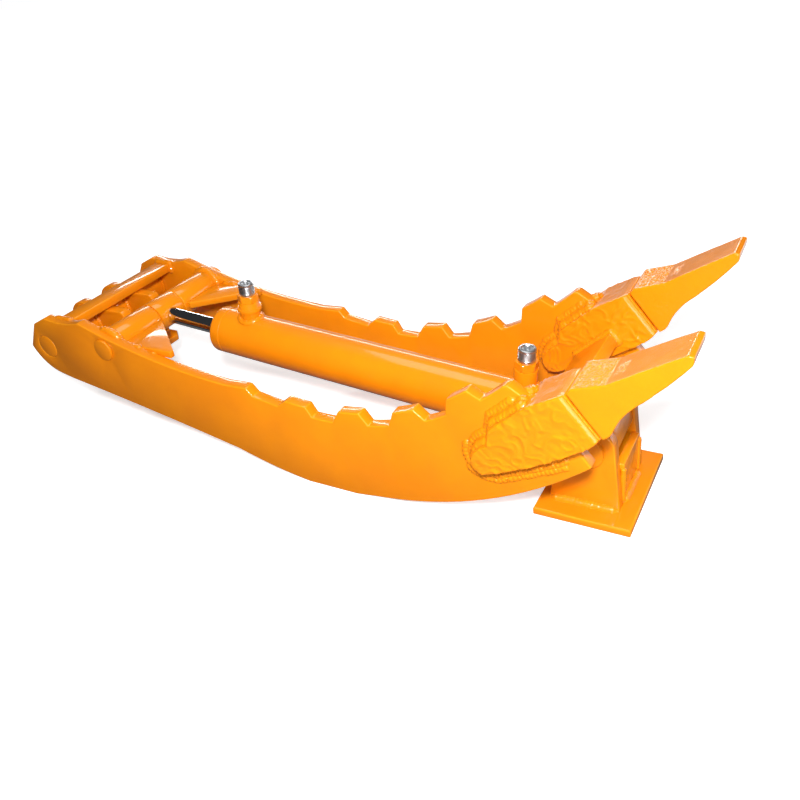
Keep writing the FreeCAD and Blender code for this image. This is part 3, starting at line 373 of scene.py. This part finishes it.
SLOT_MATERIALS = {"orange_paint": plate_enamel, "painted_weld": weld_enamel,
                  "painted_casting": cast_enamel, "hard_chrome": hard_chrome, "zinc_plate": zinc,
                  "pin_steel": pin_steel, "bronze": bronze, "piston_iron": iron,
                  "seal_rubber": rubber}
slot_of_node = {row["node"]: row["material_slot"] for row in frame["record"]["subparts"]}
SPRAYED_OVER = {"hinge_washers", "foot_pin", "foot_keeper_bolt", "rod_pin_end_bolt",
                "hinge_grease_nipple", "rod_eye_grease_nipple", "barrel_eye_grease_nipple"}
slot_of_node.update(dict.fromkeys(SPRAYED_OVER, "orange_paint"))
for name, thing in nodes.items():
    thing.data.materials.clear()
    thing.data.materials.append(SLOT_MATERIALS[slot_of_node[name]])

# %% [markdown]
# ## Plates with softened edges
#
# A plate straight from the cutting table has edges that would take the skin off a hand, so a
# welder runs a grinder along them before paint, and the paint rounds them a little more. That
# small round is what catches the light along every plate in the photograph.
#
# The CAD mesh is loose triangles with knife edges. A copy is merged, its flat faces are made whole, and only
# its sharp edges are bevelled. The new faces are marked in an attribute called edge, which the enamel reads
# to paint a paler highlight there.

# %% Soften the plates
def finished(name, mesh, body, material, slot, replaced=()):
    """Put a finished mesh in the scene, on its body and in place of its CAD nodes."""
    mesh.materials.clear()
    mesh.materials.append(material)
    thing = bpy.data.objects.new(name, mesh)
    bpy.context.scene.collection.objects.link(thing)
    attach(thing, body)
    if replaced:
        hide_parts(*replaced)
    return thing


def merged_copy(node):
    """The node's shape as one joined bmesh with its flat faces made whole."""
    shape = bmesh.new()
    shape.from_mesh(nodes[node].data)
    bmesh.ops.remove_doubles(shape, verts=shape.verts, dist=0.004 * MM)
    bmesh.ops.dissolve_limit(shape, angle_limit=math.radians(0.4), verts=shape.verts,
                             edges=shape.edges)
    return shape


def softened(node, width, steps=2, sharp=28.0, material=None):
    """The node with its sharp edges rounded off by this many millimetres."""
    shape = merged_copy(node)
    keen = [edge for edge in shape.edges
            if len(edge.link_faces) == 2 and edge.calc_face_angle(0) > math.radians(sharp)]
    mark = shape.faces.layers.float.new("edge")
    made = bmesh.ops.bevel(shape, geom=keen, offset=width * MM, offset_type="OFFSET",
                           segments=steps, profile=0.5, affect="EDGES", clamp_overlap=True)
    for face in made["faces"]:
        face[mark] = 1.0
    bmesh.ops.triangulate(shape, faces=shape.faces)
    mesh = bpy.data.meshes.new(node + "_finished")
    shape.to_mesh(mesh)
    shape.free()
    mesh.shade_smooth()
    mesh.set_sharp_from_angle(angle=math.radians(35))
    slot = slot_of_node[node]
    return finished(node + "_dressed", mesh, body_of_node[node], material or SLOT_MATERIALS[slot],
                    slot, [node])


PLATES = {"side_plate_right": 1.8, "side_plate_left": 1.8, "nose_cross_bar": 1.6,
          "front_cross_plate": 1.5, "main_pivot_pin": 1.5, "boss_gusset_right": 1.2,
          "boss_gusset_left": 1.2, "rod_pin_boss_right": 1.5, "rod_pin_boss_left": 1.5,
          "hinge_ear_right": 1.8, "hinge_ear_left": 1.8, "hinge_base_plate": 1.5,
          "hinge_tube": 1.0, "rod_eye": 1.6, "barrel_eye": 1.8, "foot_base_plate": 1.6,
          "foot_ear_right": 1.8, "foot_ear_left": 1.8, "foot_web": 1.2, "foot_pin_keeper": 0.8,
          "barrel_end_cap": 1.0, "port_boss_head": 1.0, "port_boss_base": 1.0}
dressed = {node: softened(node, width) for node, width in PLATES.items()}
print("softened", len(dressed), "most triangles",
      max(len(thing.data.polygons) for thing in dressed.values()))

# %% [markdown]
# ## Castings
#
# Teeth and adapters are cast steel. Sand moulds cannot hold a sharp corner, so every edge has a
# radius of two or three millimetres and every face is a little wavy. Bevels would give corners
# that are too regular, so the copy is remeshed to even small cells, relaxed so that all corners
# round at once, and pushed in and out by noise at two sizes: the slow swim of a big face, and the
# grit of the sand.

# %% Cast the teeth and adapters
TOOTH_TILT = math.radians(38.8)
TOOTH_ROOT = Vector((0.996, 0, 0.160))
TOOTH_AXIS = Vector((math.cos(TOOTH_TILT), 0, math.sin(TOOTH_TILT)))
SHOULDER_GAP = 0.3


def in_tooth_axes(point):
    """Distance out along the tooth and height over its axis, in millimetres."""
    x, z = (point.x - TOOTH_ROOT.x) / MM, (point.z - TOOTH_ROOT.z) / MM
    return (x * math.cos(TOOTH_TILT) + z * math.sin(TOOTH_TILT),
            z * math.cos(TOOTH_TILT) - x * math.sin(TOOTH_TILT))


def pad_roughness(point):
    """1 on the coarse pad on top of a tooth and on the small patch ahead of it, 0 elsewhere."""
    out, over = in_tooth_axes(point)
    if over < 12 or abs(abs(point.y) - 0.140) > 0.031:
        return 0.0
    return 1.0 if 12 < out < 50 else 0.5 if 56 < out < 70 and abs(abs(point.y) - 0.140) < 0.014 else 0.0


def hammered(point):
    """Lumps left on an adapter's legs, in ridges that cross and fade, about 15 mm apart."""
    warp = point + noise.noise_vector(point * 40.0) * 0.012
    ridge = max(0.0, 1 - abs(noise.noise(warp * 55.0)) * 3.4)
    return ridge ** 1.5 * 0.8 + noise.noise(warp * 105.0) * 0.6


def cast(node, cell, rounds, swim, grit):
    """The node as a sand casting; cell, swim and grit are in millimetres."""
    adapter = "adapter" in node
    shape = merged_copy(node)
    rough = bpy.data.meshes.new(node + "_rough")
    shape.to_mesh(rough)
    shape.free()
    holder = bpy.data.objects.new(node + "_rough", rough)
    bpy.context.scene.collection.objects.link(holder)
    remesh = holder.modifiers.new("cells", "REMESH")
    remesh.mode = "VOXEL"
    remesh.voxel_size = cell * MM
    relax = holder.modifiers.new("relax", "SMOOTH")
    relax.factor = 0.5
    relax.iterations = rounds
    mesh = bpy.data.meshes.new_from_object(holder.evaluated_get(bpy.context.evaluated_depsgraph_get()))
    bpy.data.objects.remove(holder)
    normals = [vertex.normal.copy() for vertex in mesh.vertices]
    for vertex, normal in zip(mesh.vertices, normals):
        slow = noise.noise(vertex.co * 38.0)
        fine = noise.noise(vertex.co * 300.0) * (0.6 + 0.8 * abs(noise.noise(vertex.co * 60.0)))
        push = slow * swim + fine * grit
        if adapter:
            out, over = in_tooth_axes(vertex.co)
            inland = min(1.0, max(0.0, (-8 - out) / 20)) * (0.25 + 0.75 * abs(normal.y))
            push += hammered(vertex.co) * 1.7 * inland
            ahead = max(0.0, normal.x * math.cos(TOOTH_TILT) + normal.z * math.sin(TOOTH_TILT))
            if out < 0.5 - SHOULDER_GAP:
                deep = 1.6 + 3.6 * abs(normal.y) - 1.2 * ahead
                push -= deep * max(0.0, 1 - (-SHOULDER_GAP - out) / 10)
                push -= 3.0 * abs(normal.y) * min(1.0, max(0.0, (out + 5) / 2))
            vertex.co -= TOOTH_AXIS * max(0.0, 1 - abs(out) / 4) * 1.0 * MM
        else:
            coarse = noise.noise(vertex.co * 420.0) + 0.7 * noise.noise(vertex.co * 210.0)
            push += coarse * 1.4 * pad_roughness(vertex.co)
            out = in_tooth_axes(vertex.co)[0]
            push -= 0.8 * max(0.0, 1 - abs(out) / 4)
            vertex.co += TOOTH_AXIS * max(0.0, 1 - abs(out) / 4) * 1.3 * MM
        vertex.co += normal * push * MM
    mesh.name = node + "_cast"
    mesh.shade_smooth()
    return finished(node + "_cast", mesh, body_of_node[node], cast_enamel, "painted_casting", [node])


CASTINGS = {"bucket_tooth_right": 1.2, "bucket_tooth_left": 1.2,
            "tooth_adapter_right": 1.6, "tooth_adapter_left": 1.6}
castings = {node: cast(node, cell, 5, 0.35, 0.16) for node, cell in CASTINGS.items()}
print("cast", [(name, len(thing.data.polygons)) for name, thing in castings.items()])

# %% [markdown]
# ## Weld beads
#
# A welder draws an arc along each joint and the pool freezes in steps, so a bead is a row of
# overlapping scales, four or five millimetres apart, each a crescent that points back along the
# run. No two are the same width, and the run wanders by a fraction of a millimetre.
#
# That is a shape that repeats along a path, which is what Geometry Nodes are for. The tree below
# takes a path made of mesh edges, lays a round bar along it, and then moves the bar's surface in
# and out with the ripples. Half of the bar is buried in the corner of the joint. The part that
# shows is the convex fillet of a real weld.

# %% Build the bead tree
def build_bead_tree():
    """Geometry Nodes tree that turns edge paths into rippled weld beads."""
    tree = bpy.data.node_groups.new("weld_bead", "GeometryNodeTree")
    sockets = [("Path", "NodeSocketGeometry"), ("Radius", "NodeSocketFloat"),
               ("Pitch", "NodeSocketFloat"), ("Ripple", "NodeSocketFloat"),
               ("Lumps", "NodeSocketFloat"), ("Wander", "NodeSocketFloat"),
               ("Facing", "NodeSocketVector"), ("Seed", "NodeSocketFloat"),
               ("Enamel", "NodeSocketMaterial")]
    for name, kind in sockets:
        tree.interface.new_socket(name, in_out="INPUT", socket_type=kind)
    tree.interface.new_socket("Beads", in_out="OUTPUT", socket_type="NodeSocketGeometry")
    given = add_node(tree, "NodeGroupInput").outputs

    def math_node(operation, first, second=0.0):
        return add_node(tree, "ShaderNodeMath", {0: first, 1: second}, operation=operation).outputs[0]

    def vector_node(operation, first, **second):
        return add_node(tree, "ShaderNodeVectorMath", {0: first, **{int(key[1:]): value
                        for key, value in second.items()}}, operation=operation)

    def noise_node(scale, detail=2.0):
        return add_node(tree, "ShaderNodeTexNoise", {"W": given["Seed"], "Scale": scale,
                        "Detail": detail}, noise_dimensions="4D").outputs

    line = add_node(tree, "GeometryNodeMeshToCurve", {"Mesh": given["Path"]}).outputs[0]
    step = math_node("MULTIPLY", given["Pitch"], 0.16)
    line = add_node(tree, "GeometryNodeResampleCurve", {"Curve": line, "Length": step},
                    mode="LENGTH").outputs[0]
    shake = vector_node("SUBTRACT", noise_node(70.0)["Color"], _1=(0.5, 0.5, 0.5)).outputs[0]
    shake = vector_node("SCALE", shake, _3=math_node("MULTIPLY", given["Wander"], 2.0)).outputs[0]
    line = add_node(tree, "GeometryNodeSetPosition", {"Geometry": line, "Offset": shake}).outputs[0]
    spot = add_node(tree, "GeometryNodeSplineParameter").outputs
    total = add_node(tree, "GeometryNodeSplineLength").outputs["Length"]
    to_end = math_node("MINIMUM", spot["Length"], math_node("SUBTRACT", total, spot["Length"]))
    taper = add_node(tree, "ShaderNodeMapRange",
                     {"Value": to_end, "From Min": 0.0, "From Max": given["Radius"],
                      "To Min": 0.45, "To Max": 1.0},
                     interpolation_type="SMOOTHSTEP").outputs["Result"]
    closed = add_node(tree, "GeometryNodeInputSplineCyclic").outputs[0]
    taper = math_node("MAXIMUM", taper, closed)
    swell = math_node("ADD", math_node("MULTIPLY", noise_node(45.0)["Fac"], 0.36), 0.82)
    girth = math_node("MULTIPLY", given["Radius"], math_node("MULTIPLY", taper, swell))
    line = add_node(tree, "GeometryNodeStoreNamedAttribute", {"Geometry": line, "Name": "along",
                    "Value": spot["Length"]}, data_type="FLOAT", domain="POINT").outputs[0]
    line = add_node(tree, "GeometryNodeSetCurveRadius", {"Curve": line, "Radius": girth}).outputs[0]
    ring = add_node(tree, "GeometryNodeCurvePrimitiveCircle",
                    {"Resolution": 14, "Radius": 1.0}).outputs[0]
    sweep = add_node(tree, "GeometryNodeCurveToMesh", {"Curve": line, "Profile Curve": ring,
                     "Fill Caps": True})
    if "Scale" in sweep.inputs:
        tree.links.new(add_node(tree, "GeometryNodeInputRadius").outputs[0], sweep.inputs["Scale"])
    bead = sweep.outputs[0]
    along = add_node(tree, "GeometryNodeInputNamedAttribute", {"Name": "along"},
                     data_type="FLOAT").outputs[0]
    outward = add_node(tree, "GeometryNodeInputNormal").outputs[0]
    level = vector_node("DOT_PRODUCT", outward, _1=given["Facing"]).outputs["Value"]
    lag = math_node("MULTIPLY", math_node("SUBTRACT", 1.0, level),
                    math_node("MULTIPLY", given["Radius"], 0.75))
    lag = math_node("ADD", lag, math_node("MULTIPLY", noise_node(120.0)["Fac"], given["Pitch"]))
    phase = math_node("DIVIDE", math_node("ADD", along, lag), given["Pitch"])
    scale = math_node("ABSOLUTE", math_node("SINE", math_node("MULTIPLY", phase, math.pi)))
    height = math_node("MULTIPLY", math_node("SUBTRACT", scale, 0.6), given["Ripple"])
    lumps = math_node("MULTIPLY", math_node("SUBTRACT", noise_node(110.0, 3.0)["Fac"], 0.5),
                      given["Lumps"])
    move = vector_node("SCALE", outward, _3=math_node("ADD", height, lumps)).outputs[0]
    bead = add_node(tree, "GeometryNodeSetPosition", {"Geometry": bead, "Offset": move}).outputs[0]
    bead = add_node(tree, "GeometryNodeSetShadeSmooth", {"Geometry": bead}).outputs[0]
    bead = add_node(tree, "GeometryNodeRealizeInstances", {"Geometry": bead}).outputs[0]
    bead = add_node(tree, "GeometryNodeSetMaterial",
                    {"Geometry": bead, "Material": given["Enamel"]}).outputs[0]
    add_node(tree, "NodeGroupOutput", {"Beads": bead})
    return tree


bead_tree = build_bead_tree()
bead_inputs = {item.name: item.identifier for item in bead_tree.interface.items_tree
               if item.in_out == "INPUT"}
print("bead tree", len(bead_tree.nodes), "nodes")


# %% Lay beads along paths
def weld(name, body, paths, leg, facing, closed=False, node=None, pitch=4.6, lumps=0.22):
    """Beads along these paths, with a fillet leg in millimetres; facing is the side that shows."""
    points, edges = [], []
    for run in paths:
        first = len(points)
        points += [Vector(point) for point in run]
        edges += [(first + at, first + at + 1) for at in range(len(run) - 1)]
        if closed:
            edges.append((len(points) - 1, first))
    path_mesh = bpy.data.meshes.new(name + "_path")
    path_mesh.from_pydata(points, edges, [])
    holder = bpy.data.objects.new(name + "_path", path_mesh)
    bpy.context.scene.collection.objects.link(holder)
    modifier = holder.modifiers.new("bead", "NODES")
    modifier.node_group = bead_tree
    seed = sum(ord(letter) for letter in name) % 97
    values = {"Radius": leg * MM, "Pitch": pitch * MM, "Ripple": 0.13 * leg * MM,
              "Lumps": lumps * leg * MM, "Wander": 0.09 * leg * MM,
              "Facing": Vector(facing).normalized(), "Seed": float(seed), "Enamel": weld_enamel}
    for key, value in values.items():
        modifier[bead_inputs[key]] = value
    holder.update_tag()
    bpy.context.view_layer.update()
    mesh = bpy.data.meshes.new_from_object(holder.evaluated_get(bpy.context.evaluated_depsgraph_get()))
    bpy.data.objects.remove(holder)
    mesh.name = name
    return finished(name, mesh, body, weld_enamel, "painted_weld", [node] if node else [])


def rim(centre, radius, axis, count=48):
    """Points on a circle about an axis."""
    axis = Vector(axis).normalized()
    side = axis.orthogonal().normalized()
    other = axis.cross(side)
    return [Vector(centre) + (side * math.cos(turn) + other * math.sin(turn)) * radius
            for turn in (2 * math.pi * at / count for at in range(count))]


def corner_runs(node, plane):
    """Chains of the node's sharp edges that lie on the plane y, in order."""
    shape = merged_copy(node)
    on_plane = [edge for edge in shape.edges
                if all(abs(vertex.co.y - plane) < 0.02 * MM for vertex in edge.verts)
                and len(edge.link_faces) == 2 and edge.calc_face_angle(0) > math.radians(20)]
    near = {}
    for edge in on_plane:
        first, second = (vertex.index for vertex in edge.verts)
        near.setdefault(first, set()).add(second)
        near.setdefault(second, set()).add(first)
    shape.verts.ensure_lookup_table()
    place = {index: shape.verts[index].co.copy() for index in near}
    shape.free()
    runs, left = [], set(near)
    while left:
        ends = [index for index in left if len(near[index]) == 1]
        here = min(ends) if ends else min(left)
        chain = []
        while here is not None:
            chain.append(place[here])
            left.discard(here)
            following = [index for index in near[here] if index in left]
            here = following[0] if following else None
        runs.append(chain)
    return runs


# %% [markdown]
# ## Where the beads run
#
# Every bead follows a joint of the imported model. Long straight corners need two ends. Joints
# around a cut plate follow that plate's own outline, moved out a little for each pass. The
# adapters carry most load, so each leg is welded in three passes laid side by side, and the outer
# legs get two short ones more around their back ends.

# %% Paths around outlines
def at_mm(*point):
    """A point given in millimetres of the row frame."""
    return Vector(point) * MM


def grown(points, amount, closed=True):
    """An outline in an XZ plane moved outwards by this many millimetres."""
    count = len(points)
    area = sum(a.x * b.z - b.x * a.z for a, b in zip(points, points[1:] + points[:1]))
    moved = []
    for at, point in enumerate(points):
        before = points[at - 1] if closed or at else point
        after = points[(at + 1) % count] if closed or at < count - 1 else point
        run = (after - before).normalized()
        out = Vector((run.z, 0, -run.x)) * (1 if area > 0 else -1)
        moved.append(point + out * amount * MM)
    return moved


def leg_outline(node, plane):
    """Outline of an adapter's leg on the plate, from the slot's end round to its end again."""
    loop = corner_runs(node, plane * MM)[0]
    reach = [point.dot(TOOTH_AXIS) for point in loop]
    furthest = max(reach)
    count = len(loop)
    for at in range(count):
        after = (at + 1) % count
        long_enough = (loop[at] - loop[after]).length > 20 * MM
        if long_enough and min(reach[at], reach[after]) > furthest - 2 * MM:
            return loop[at + 1:] + loop[:at + 1]
    return loop


def trimmed(points, first, last):
    """An open path with this many millimetres taken off its two ends."""
    for amount in (first, last):
        left = amount * MM
        points = list(points)
        while (points[1] - points[0]).length < left:
            left -= (points[1] - points[0]).length
            points.pop(0)
        points[0] = points[0] + (points[1] - points[0]).normalized() * left
        points.reverse()
    return points


def lifted(points, out):
    """The same path moved along Y by this many millimetres."""
    return [point + Vector((0, out * MM, 0)) for point in points]


for hand, side in (("right", -1), ("left", 1)):
    runs = {"outer": (side * 150.3, side), "inner": (side * 129.7, -side)}
    for tag, (plane, out) in runs.items():
        leg = leg_outline("tooth_adapter_" + hand, plane)
        if leg[0].z < leg[-1].z:
            leg.reverse()
        passes = [trimmed(lifted(grown(leg, 1.5, False), 0), 8, 6),
                  trimmed(lifted(grown(leg, 9.5, False), -out * 4.5), 24, 20),
                  trimmed(lifted(grown(leg, -1.0, False), out * 8.0), 7, 40)]
        if tag == "outer":
            passes += [trimmed(lifted(grown(leg[12:], 17.5, False), -out * 5.0), 6, 16),
                       trimmed(lifted(grown(leg[22:], 25.5, False), -out * 5.8), 2, 22)]
        weld("adapter_bead_%s_%s" % (hand, tag), "thumb_frame", passes, 8.6, (0, out, 0),
             node="adapter_weld_" + hand, pitch=6.5, lumps=0.45)
print("adapter beads", len(leg), "points")

# %% Beads on the other joints
pin_at = (125.2, 0.0, 99.1)
rings, bars, crosses, gussets = [], [], [], []
bar_corners = [at_mm(0, 0, 117.5), at_mm(34, 0, 117.5), at_mm(34, 0, 134.5), at_mm(0, 0, 134.5)]
slope = Vector((math.cos(math.radians(41)), 0, math.sin(math.radians(41))))
steep = Vector((-slope.z, 0, slope.x))
low_end = at_mm(902, 0, 69.5)
cross_corners = [low_end + slope * along * MM + steep * across * MM
                 for along, across in ((0, -10), (72, -10), (72, 10), (0, 10))]
for side in (-1, 1):
    rings.append(rim(at_mm(pin_at[0], side * 131.0, pin_at[2]), 27.5 * MM, (0, 1, 0)))
    bars.append(lifted(grown(bar_corners, -1.0), side * 131.0))
    crosses.append(lifted(grown(cross_corners, -1.0), side * 105.0))
    for up in (-1, 1):
        z = pin_at[2] + up * 4.5
        gussets.append([at_mm(168, side * 131.5, z), at_mm(218 - up * 16, side * 131.5, z)])
weld("boss_beads", "thumb_frame", rings, 8.0, (0.3, 0, 1), closed=True, node="boss_welds")
weld("nose_bar_beads", "thumb_frame", bars, 6.5, (0, 0, 1), closed=True, node="nose_bar_welds")
weld("cross_plate_beads", "thumb_frame", crosses, 7.0, (0, 0, 1), closed=True, node="cross_plate_welds")
weld("gusset_beads", "thumb_frame", gussets, 6.5, (0, 0, 1), node="gusset_welds")

ears = [[at_mm(x, middle_y + face * 8.5, 10.5) for x in (-66, 70)]
        for middle_y in (-38, 38) for face in (-1, 1)]
weld("hinge_ear_beads", "hinge_mount", ears, 9.0, (0, 0, 1), node="hinge_ear_welds")
tube_rings = [rim(at_mm(-35, middle_y + face * 9.0, 80), 31.0 * MM, (0, 1, 0))
              for middle_y in (-38, 38) for face in (-1, 1)]
weld("hinge_tube_beads", "hinge_mount", tube_rings, 6.5, (0, 0, 1), closed=True)

feet, uprights = [], []
for middle_y in (-51.5, 51.5):
    for face in (-1, 1):
        last = 1000 if face * middle_y < 0 else 1014
        feet.append([at_mm(x, middle_y + face * 8.5, -75.5) for x in (912, last)])
    inside = 39.7 if middle_y > 0 else -39.7
    uprights.append([at_mm(1012.8, inside, z) for z in (-72, -9)])
feet.append([at_mm(1012.5, y, -75.5) for y in (-40, 40)])
weld("foot_bracket_beads", "foot_bracket", feet, 9.0, (0.3, 0, 1), node="foot_bracket_welds")
weld("foot_web_beads", "foot_bracket", uprights, 4.5, (1, 0, 0))


# %% [markdown]
# ## The cylinder's own axes
#
# Barrel, rod, ports and glands are all measured along the cylinder, which leans down by a little
# over five degrees. One helper gives a point from the distance along, across and above that axis.

# %% Cylinder axes and port beads
LEAN = math.atan2(76.4, 839.8)
ALONG = Vector((math.cos(LEAN), 0, -math.sin(LEAN)))
ABOVE = Vector((math.sin(LEAN), 0, math.cos(LEAN)))


def on_cylinder(along, across=0.0, above=0.0):
    """Point on the cylinder, in millimetres from the rod pin."""
    return at_mm(*pin_at) + (ALONG * along + Vector((0, across, 0)) + ABOVE * above) * MM


saddles = []
for port in (217.0, 727.0):
    saddle = []
    for at in range(48):
        turn = 2 * math.pi * at / 48
        across = 18.0 * math.sin(turn)
        saddle.append(on_cylinder(port + 18.0 * math.cos(turn), across, math.sqrt(40.6 ** 2 - across ** 2)))
    saddles.append(saddle)
weld("port_beads", "cylinder_barrel", saddles, 6.0, (0, 0, 1), closed=True, node="port_welds")
print("saddles", len(saddles))

# %% [markdown]
# ## Turned pieces
#
# Anything from a lathe is a list of stations: how far along the axis, and how wide there. Giving a
# station the width across flats cuts a hexagon through the round, and where the two meet comes the
# scalloped chamfer of every real bolt head. Giving it a thread depth and pitch winds a groove
# around it.
#
# The port threads have 1.8 mm pitch, like three-quarter-inch pipe. That is the real size, so they
# are drawn as fine as they are.

# %% Turn from stations
def turned(name, node, body, centre, axis, stations, material, slot, segments=96, tube=False):
    """A closed lathe shape; a station is (along, radius) and may go on with flats, depth, pitch."""
    axis = Vector(axis).normalized()
    side = Vector((0, 0, 1)) if abs(axis.z) < 0.5 else Vector((1, 0, 0))
    side = (side - axis * side.dot(axis)).normalized()
    other = axis.cross(side)
    shape = bmesh.new()
    loops = []
    for station in stations:
        along, radius, flats, depth, pitch = (*station, 0, 0, 0)[:5]
        if radius == 0:
            loops.append([shape.verts.new(Vector(centre) + axis * along * MM)])
            continue
        loop = []
        for at in range(segments):
            turn = 2 * math.pi * at / segments
            here = radius
            if flats:
                from_flat = (turn + math.pi / 6) % (math.pi / 3) - math.pi / 6
                here = min(radius, flats / 2 / math.cos(from_flat))
            if depth:
                here -= depth * (0.5 - 0.5 * math.cos(2 * math.pi * along / pitch - turn))
            spread = side * math.cos(turn) + other * math.sin(turn)
            loop.append(shape.verts.new(Vector(centre) + (axis * along + spread * here) * MM))
        loops.append(loop)
    for first, second in zip(loops, loops[1:] + (loops[:1] if tube else [])):
        for at in range(segments):
            after = (at + 1) % segments
            if len(first) == 1:
                shape.faces.new((first[0], second[after], second[at]))
            elif len(second) == 1:
                shape.faces.new((first[at], first[after], second[0]))
            else:
                shape.faces.new((first[at], first[after], second[after], second[at]))
    bmesh.ops.recalc_face_normals(shape, faces=shape.faces)
    mesh = bpy.data.meshes.new(name)
    shape.to_mesh(mesh)
    shape.free()
    mesh.shade_smooth()
    mesh.set_sharp_from_angle(angle=math.radians(32))
    return finished(name, mesh, body, material, slot, [node] if node else [])


def threaded(start, end, radius, depth, pitch):
    """Stations of a thread."""
    steps = round((end - start) / pitch * 7)
    return [(start + (end - start) * at / steps, radius, 0,
             depth * min(1, at / 7, (steps - at) / 7), pitch) for at in range(steps + 1)]


zero = at_mm(*pin_at)
turned("rod_turned", "piston_rod", "cylinder_rod", zero, ALONG,
       [(24.3, 0), (24.3, 14), (25.3, 15), (639.7, 15), (639.7, 11.5), (714.3, 11.5), (716.3, 9.5),
        (716.3, 0)], hard_chrome, "hard_chrome", 128)
turned("barrel_turned", "barrel_tube", "cylinder_barrel", zero, ALONG,
       [(167.8, 31.5), (167.8, 40.4), (168.6, 41.25), (751.2, 41.25), (752, 40.4), (752, 31.5)],
       plate_enamel, "orange_paint", 128, tube=True)
turned("gland_turned", "cylinder_gland", "cylinder_barrel", zero, ALONG,
       [(146, 20), (146, 34.6), (146.5, 36.6), (147.8, 39.0), (149.7, 40.6), (152, 41.25),
        (166.7, 41.25), (167.5, 40.4), (167.5, 31.4), (200, 31.4), (200, 16), (195, 16), (195, 18.2),
        (155, 18.2), (155, 20)], plate_enamel, "orange_paint", 128, tube=True)
for tag, port in (("head", 217.0), ("base", 727.0)):
    stand = on_cylinder(port)
    neck = [(52, 7.5), (52, 9.8), (53, 10.8), (72.4, 10.8), (72.4, 12.4), (85.4, 12.4), (86.2, 13.5),
            (88, 13.5)] + threaded(88.2, 103.4, 13.5, 1.0, 1.81) + [
                (104.6, 13.5), (105.7, 12.4), (106, 11.9), (106, 9.4), (105.6, 8.8), (103.4, 7.5)]
    turned("port_fitting_turned_" + tag, "port_fitting_" + tag, "cylinder_barrel", stand, ABOVE, neck,
           zinc, "zinc_plate", 96, tube=True)
    turned("port_fitting_hex_" + tag, "port_fitting_" + tag, "cylinder_barrel", stand, ABOVE,
           [(72.3, 12.5), (72.3, 17.2, 32), (73.4, 18.4, 32), (83.0, 18.4, 32), (84.3, 16.6, 32),
            (84.3, 12.5)], plate_enamel, "orange_paint", 96, tube=True)
turned("rod_pin_turned", "rod_pin", "thumb_frame", zero, (0, 1, 0),
       [(-154.3, 0), (-154.3, 18.6), (-153.9, 19.5), (-153.1, 20), (-150.3, 20), (-150.3, 18),
        (150.3, 18), (150.3, 6.3), (116, 6.3), (113, 0)], SLOT_MATERIALS[slot_of_node["rod_pin"]],
       slot_of_node["rod_pin"], 96)
turned("rod_pin_washer_turned", "rod_pin_end_washer", "thumb_frame", zero, (0, 1, 0),
       [(150.6, 6.3), (150.6, 25.6), (151, 26), (155.4, 26), (156.3, 25.6), (156.6, 24.8), (156.6, 6.3)],
       SLOT_MATERIALS[slot_of_node["rod_pin_end_washer"]], slot_of_node["rod_pin_end_washer"], 96, tube=True)
turned("rod_pin_bolt_turned", "rod_pin_end_bolt", "thumb_frame", zero, (0, 1, 0),
       [(118, 0), (118, 5), (119, 6), (156.9, 6), (156.9, 10.3, 18), (163.2, 10.3, 18), (164.3, 8.5, 18),
        (164.3, 0)], SLOT_MATERIALS[slot_of_node["rod_pin_end_bolt"]], slot_of_node["rod_pin_end_bolt"])
foot_at = at_mm(965, 0, 22.7)
turned("foot_pin_turned", "foot_pin", body_of_node["foot_pin"], foot_at, (0, 1, 0),
       [(-67.8, 0), (-67.8, 24.4), (-67.3, 25.5), (-66.2, 26), (-61.8, 26), (-61.8, 20), (61.8, 20),
        (61.8, 15), (67.8, 15), (67.8, 20), (72.8, 20), (74.8, 18), (74.8, 0)],
       SLOT_MATERIALS[slot_of_node["foot_pin"]], slot_of_node["foot_pin"], 96)
turned("keeper_bolt_turned", "foot_keeper_bolt", body_of_node["foot_keeper_bolt"], foot_at + at_mm(0, 0, -44),
       (0, 1, 0), [(45.5, 0), (45.5, 4), (46.5, 5), (68.1, 5), (68.1, 9.2, 16), (73.4, 9.2, 16),
                   (74.4, 7.5, 16), (74.4, 0)], SLOT_MATERIALS[slot_of_node["foot_keeper_bolt"]],
       slot_of_node["foot_keeper_bolt"])
print("turned pieces ready")

# %% Update the scene
bpy.context.view_layer.update()
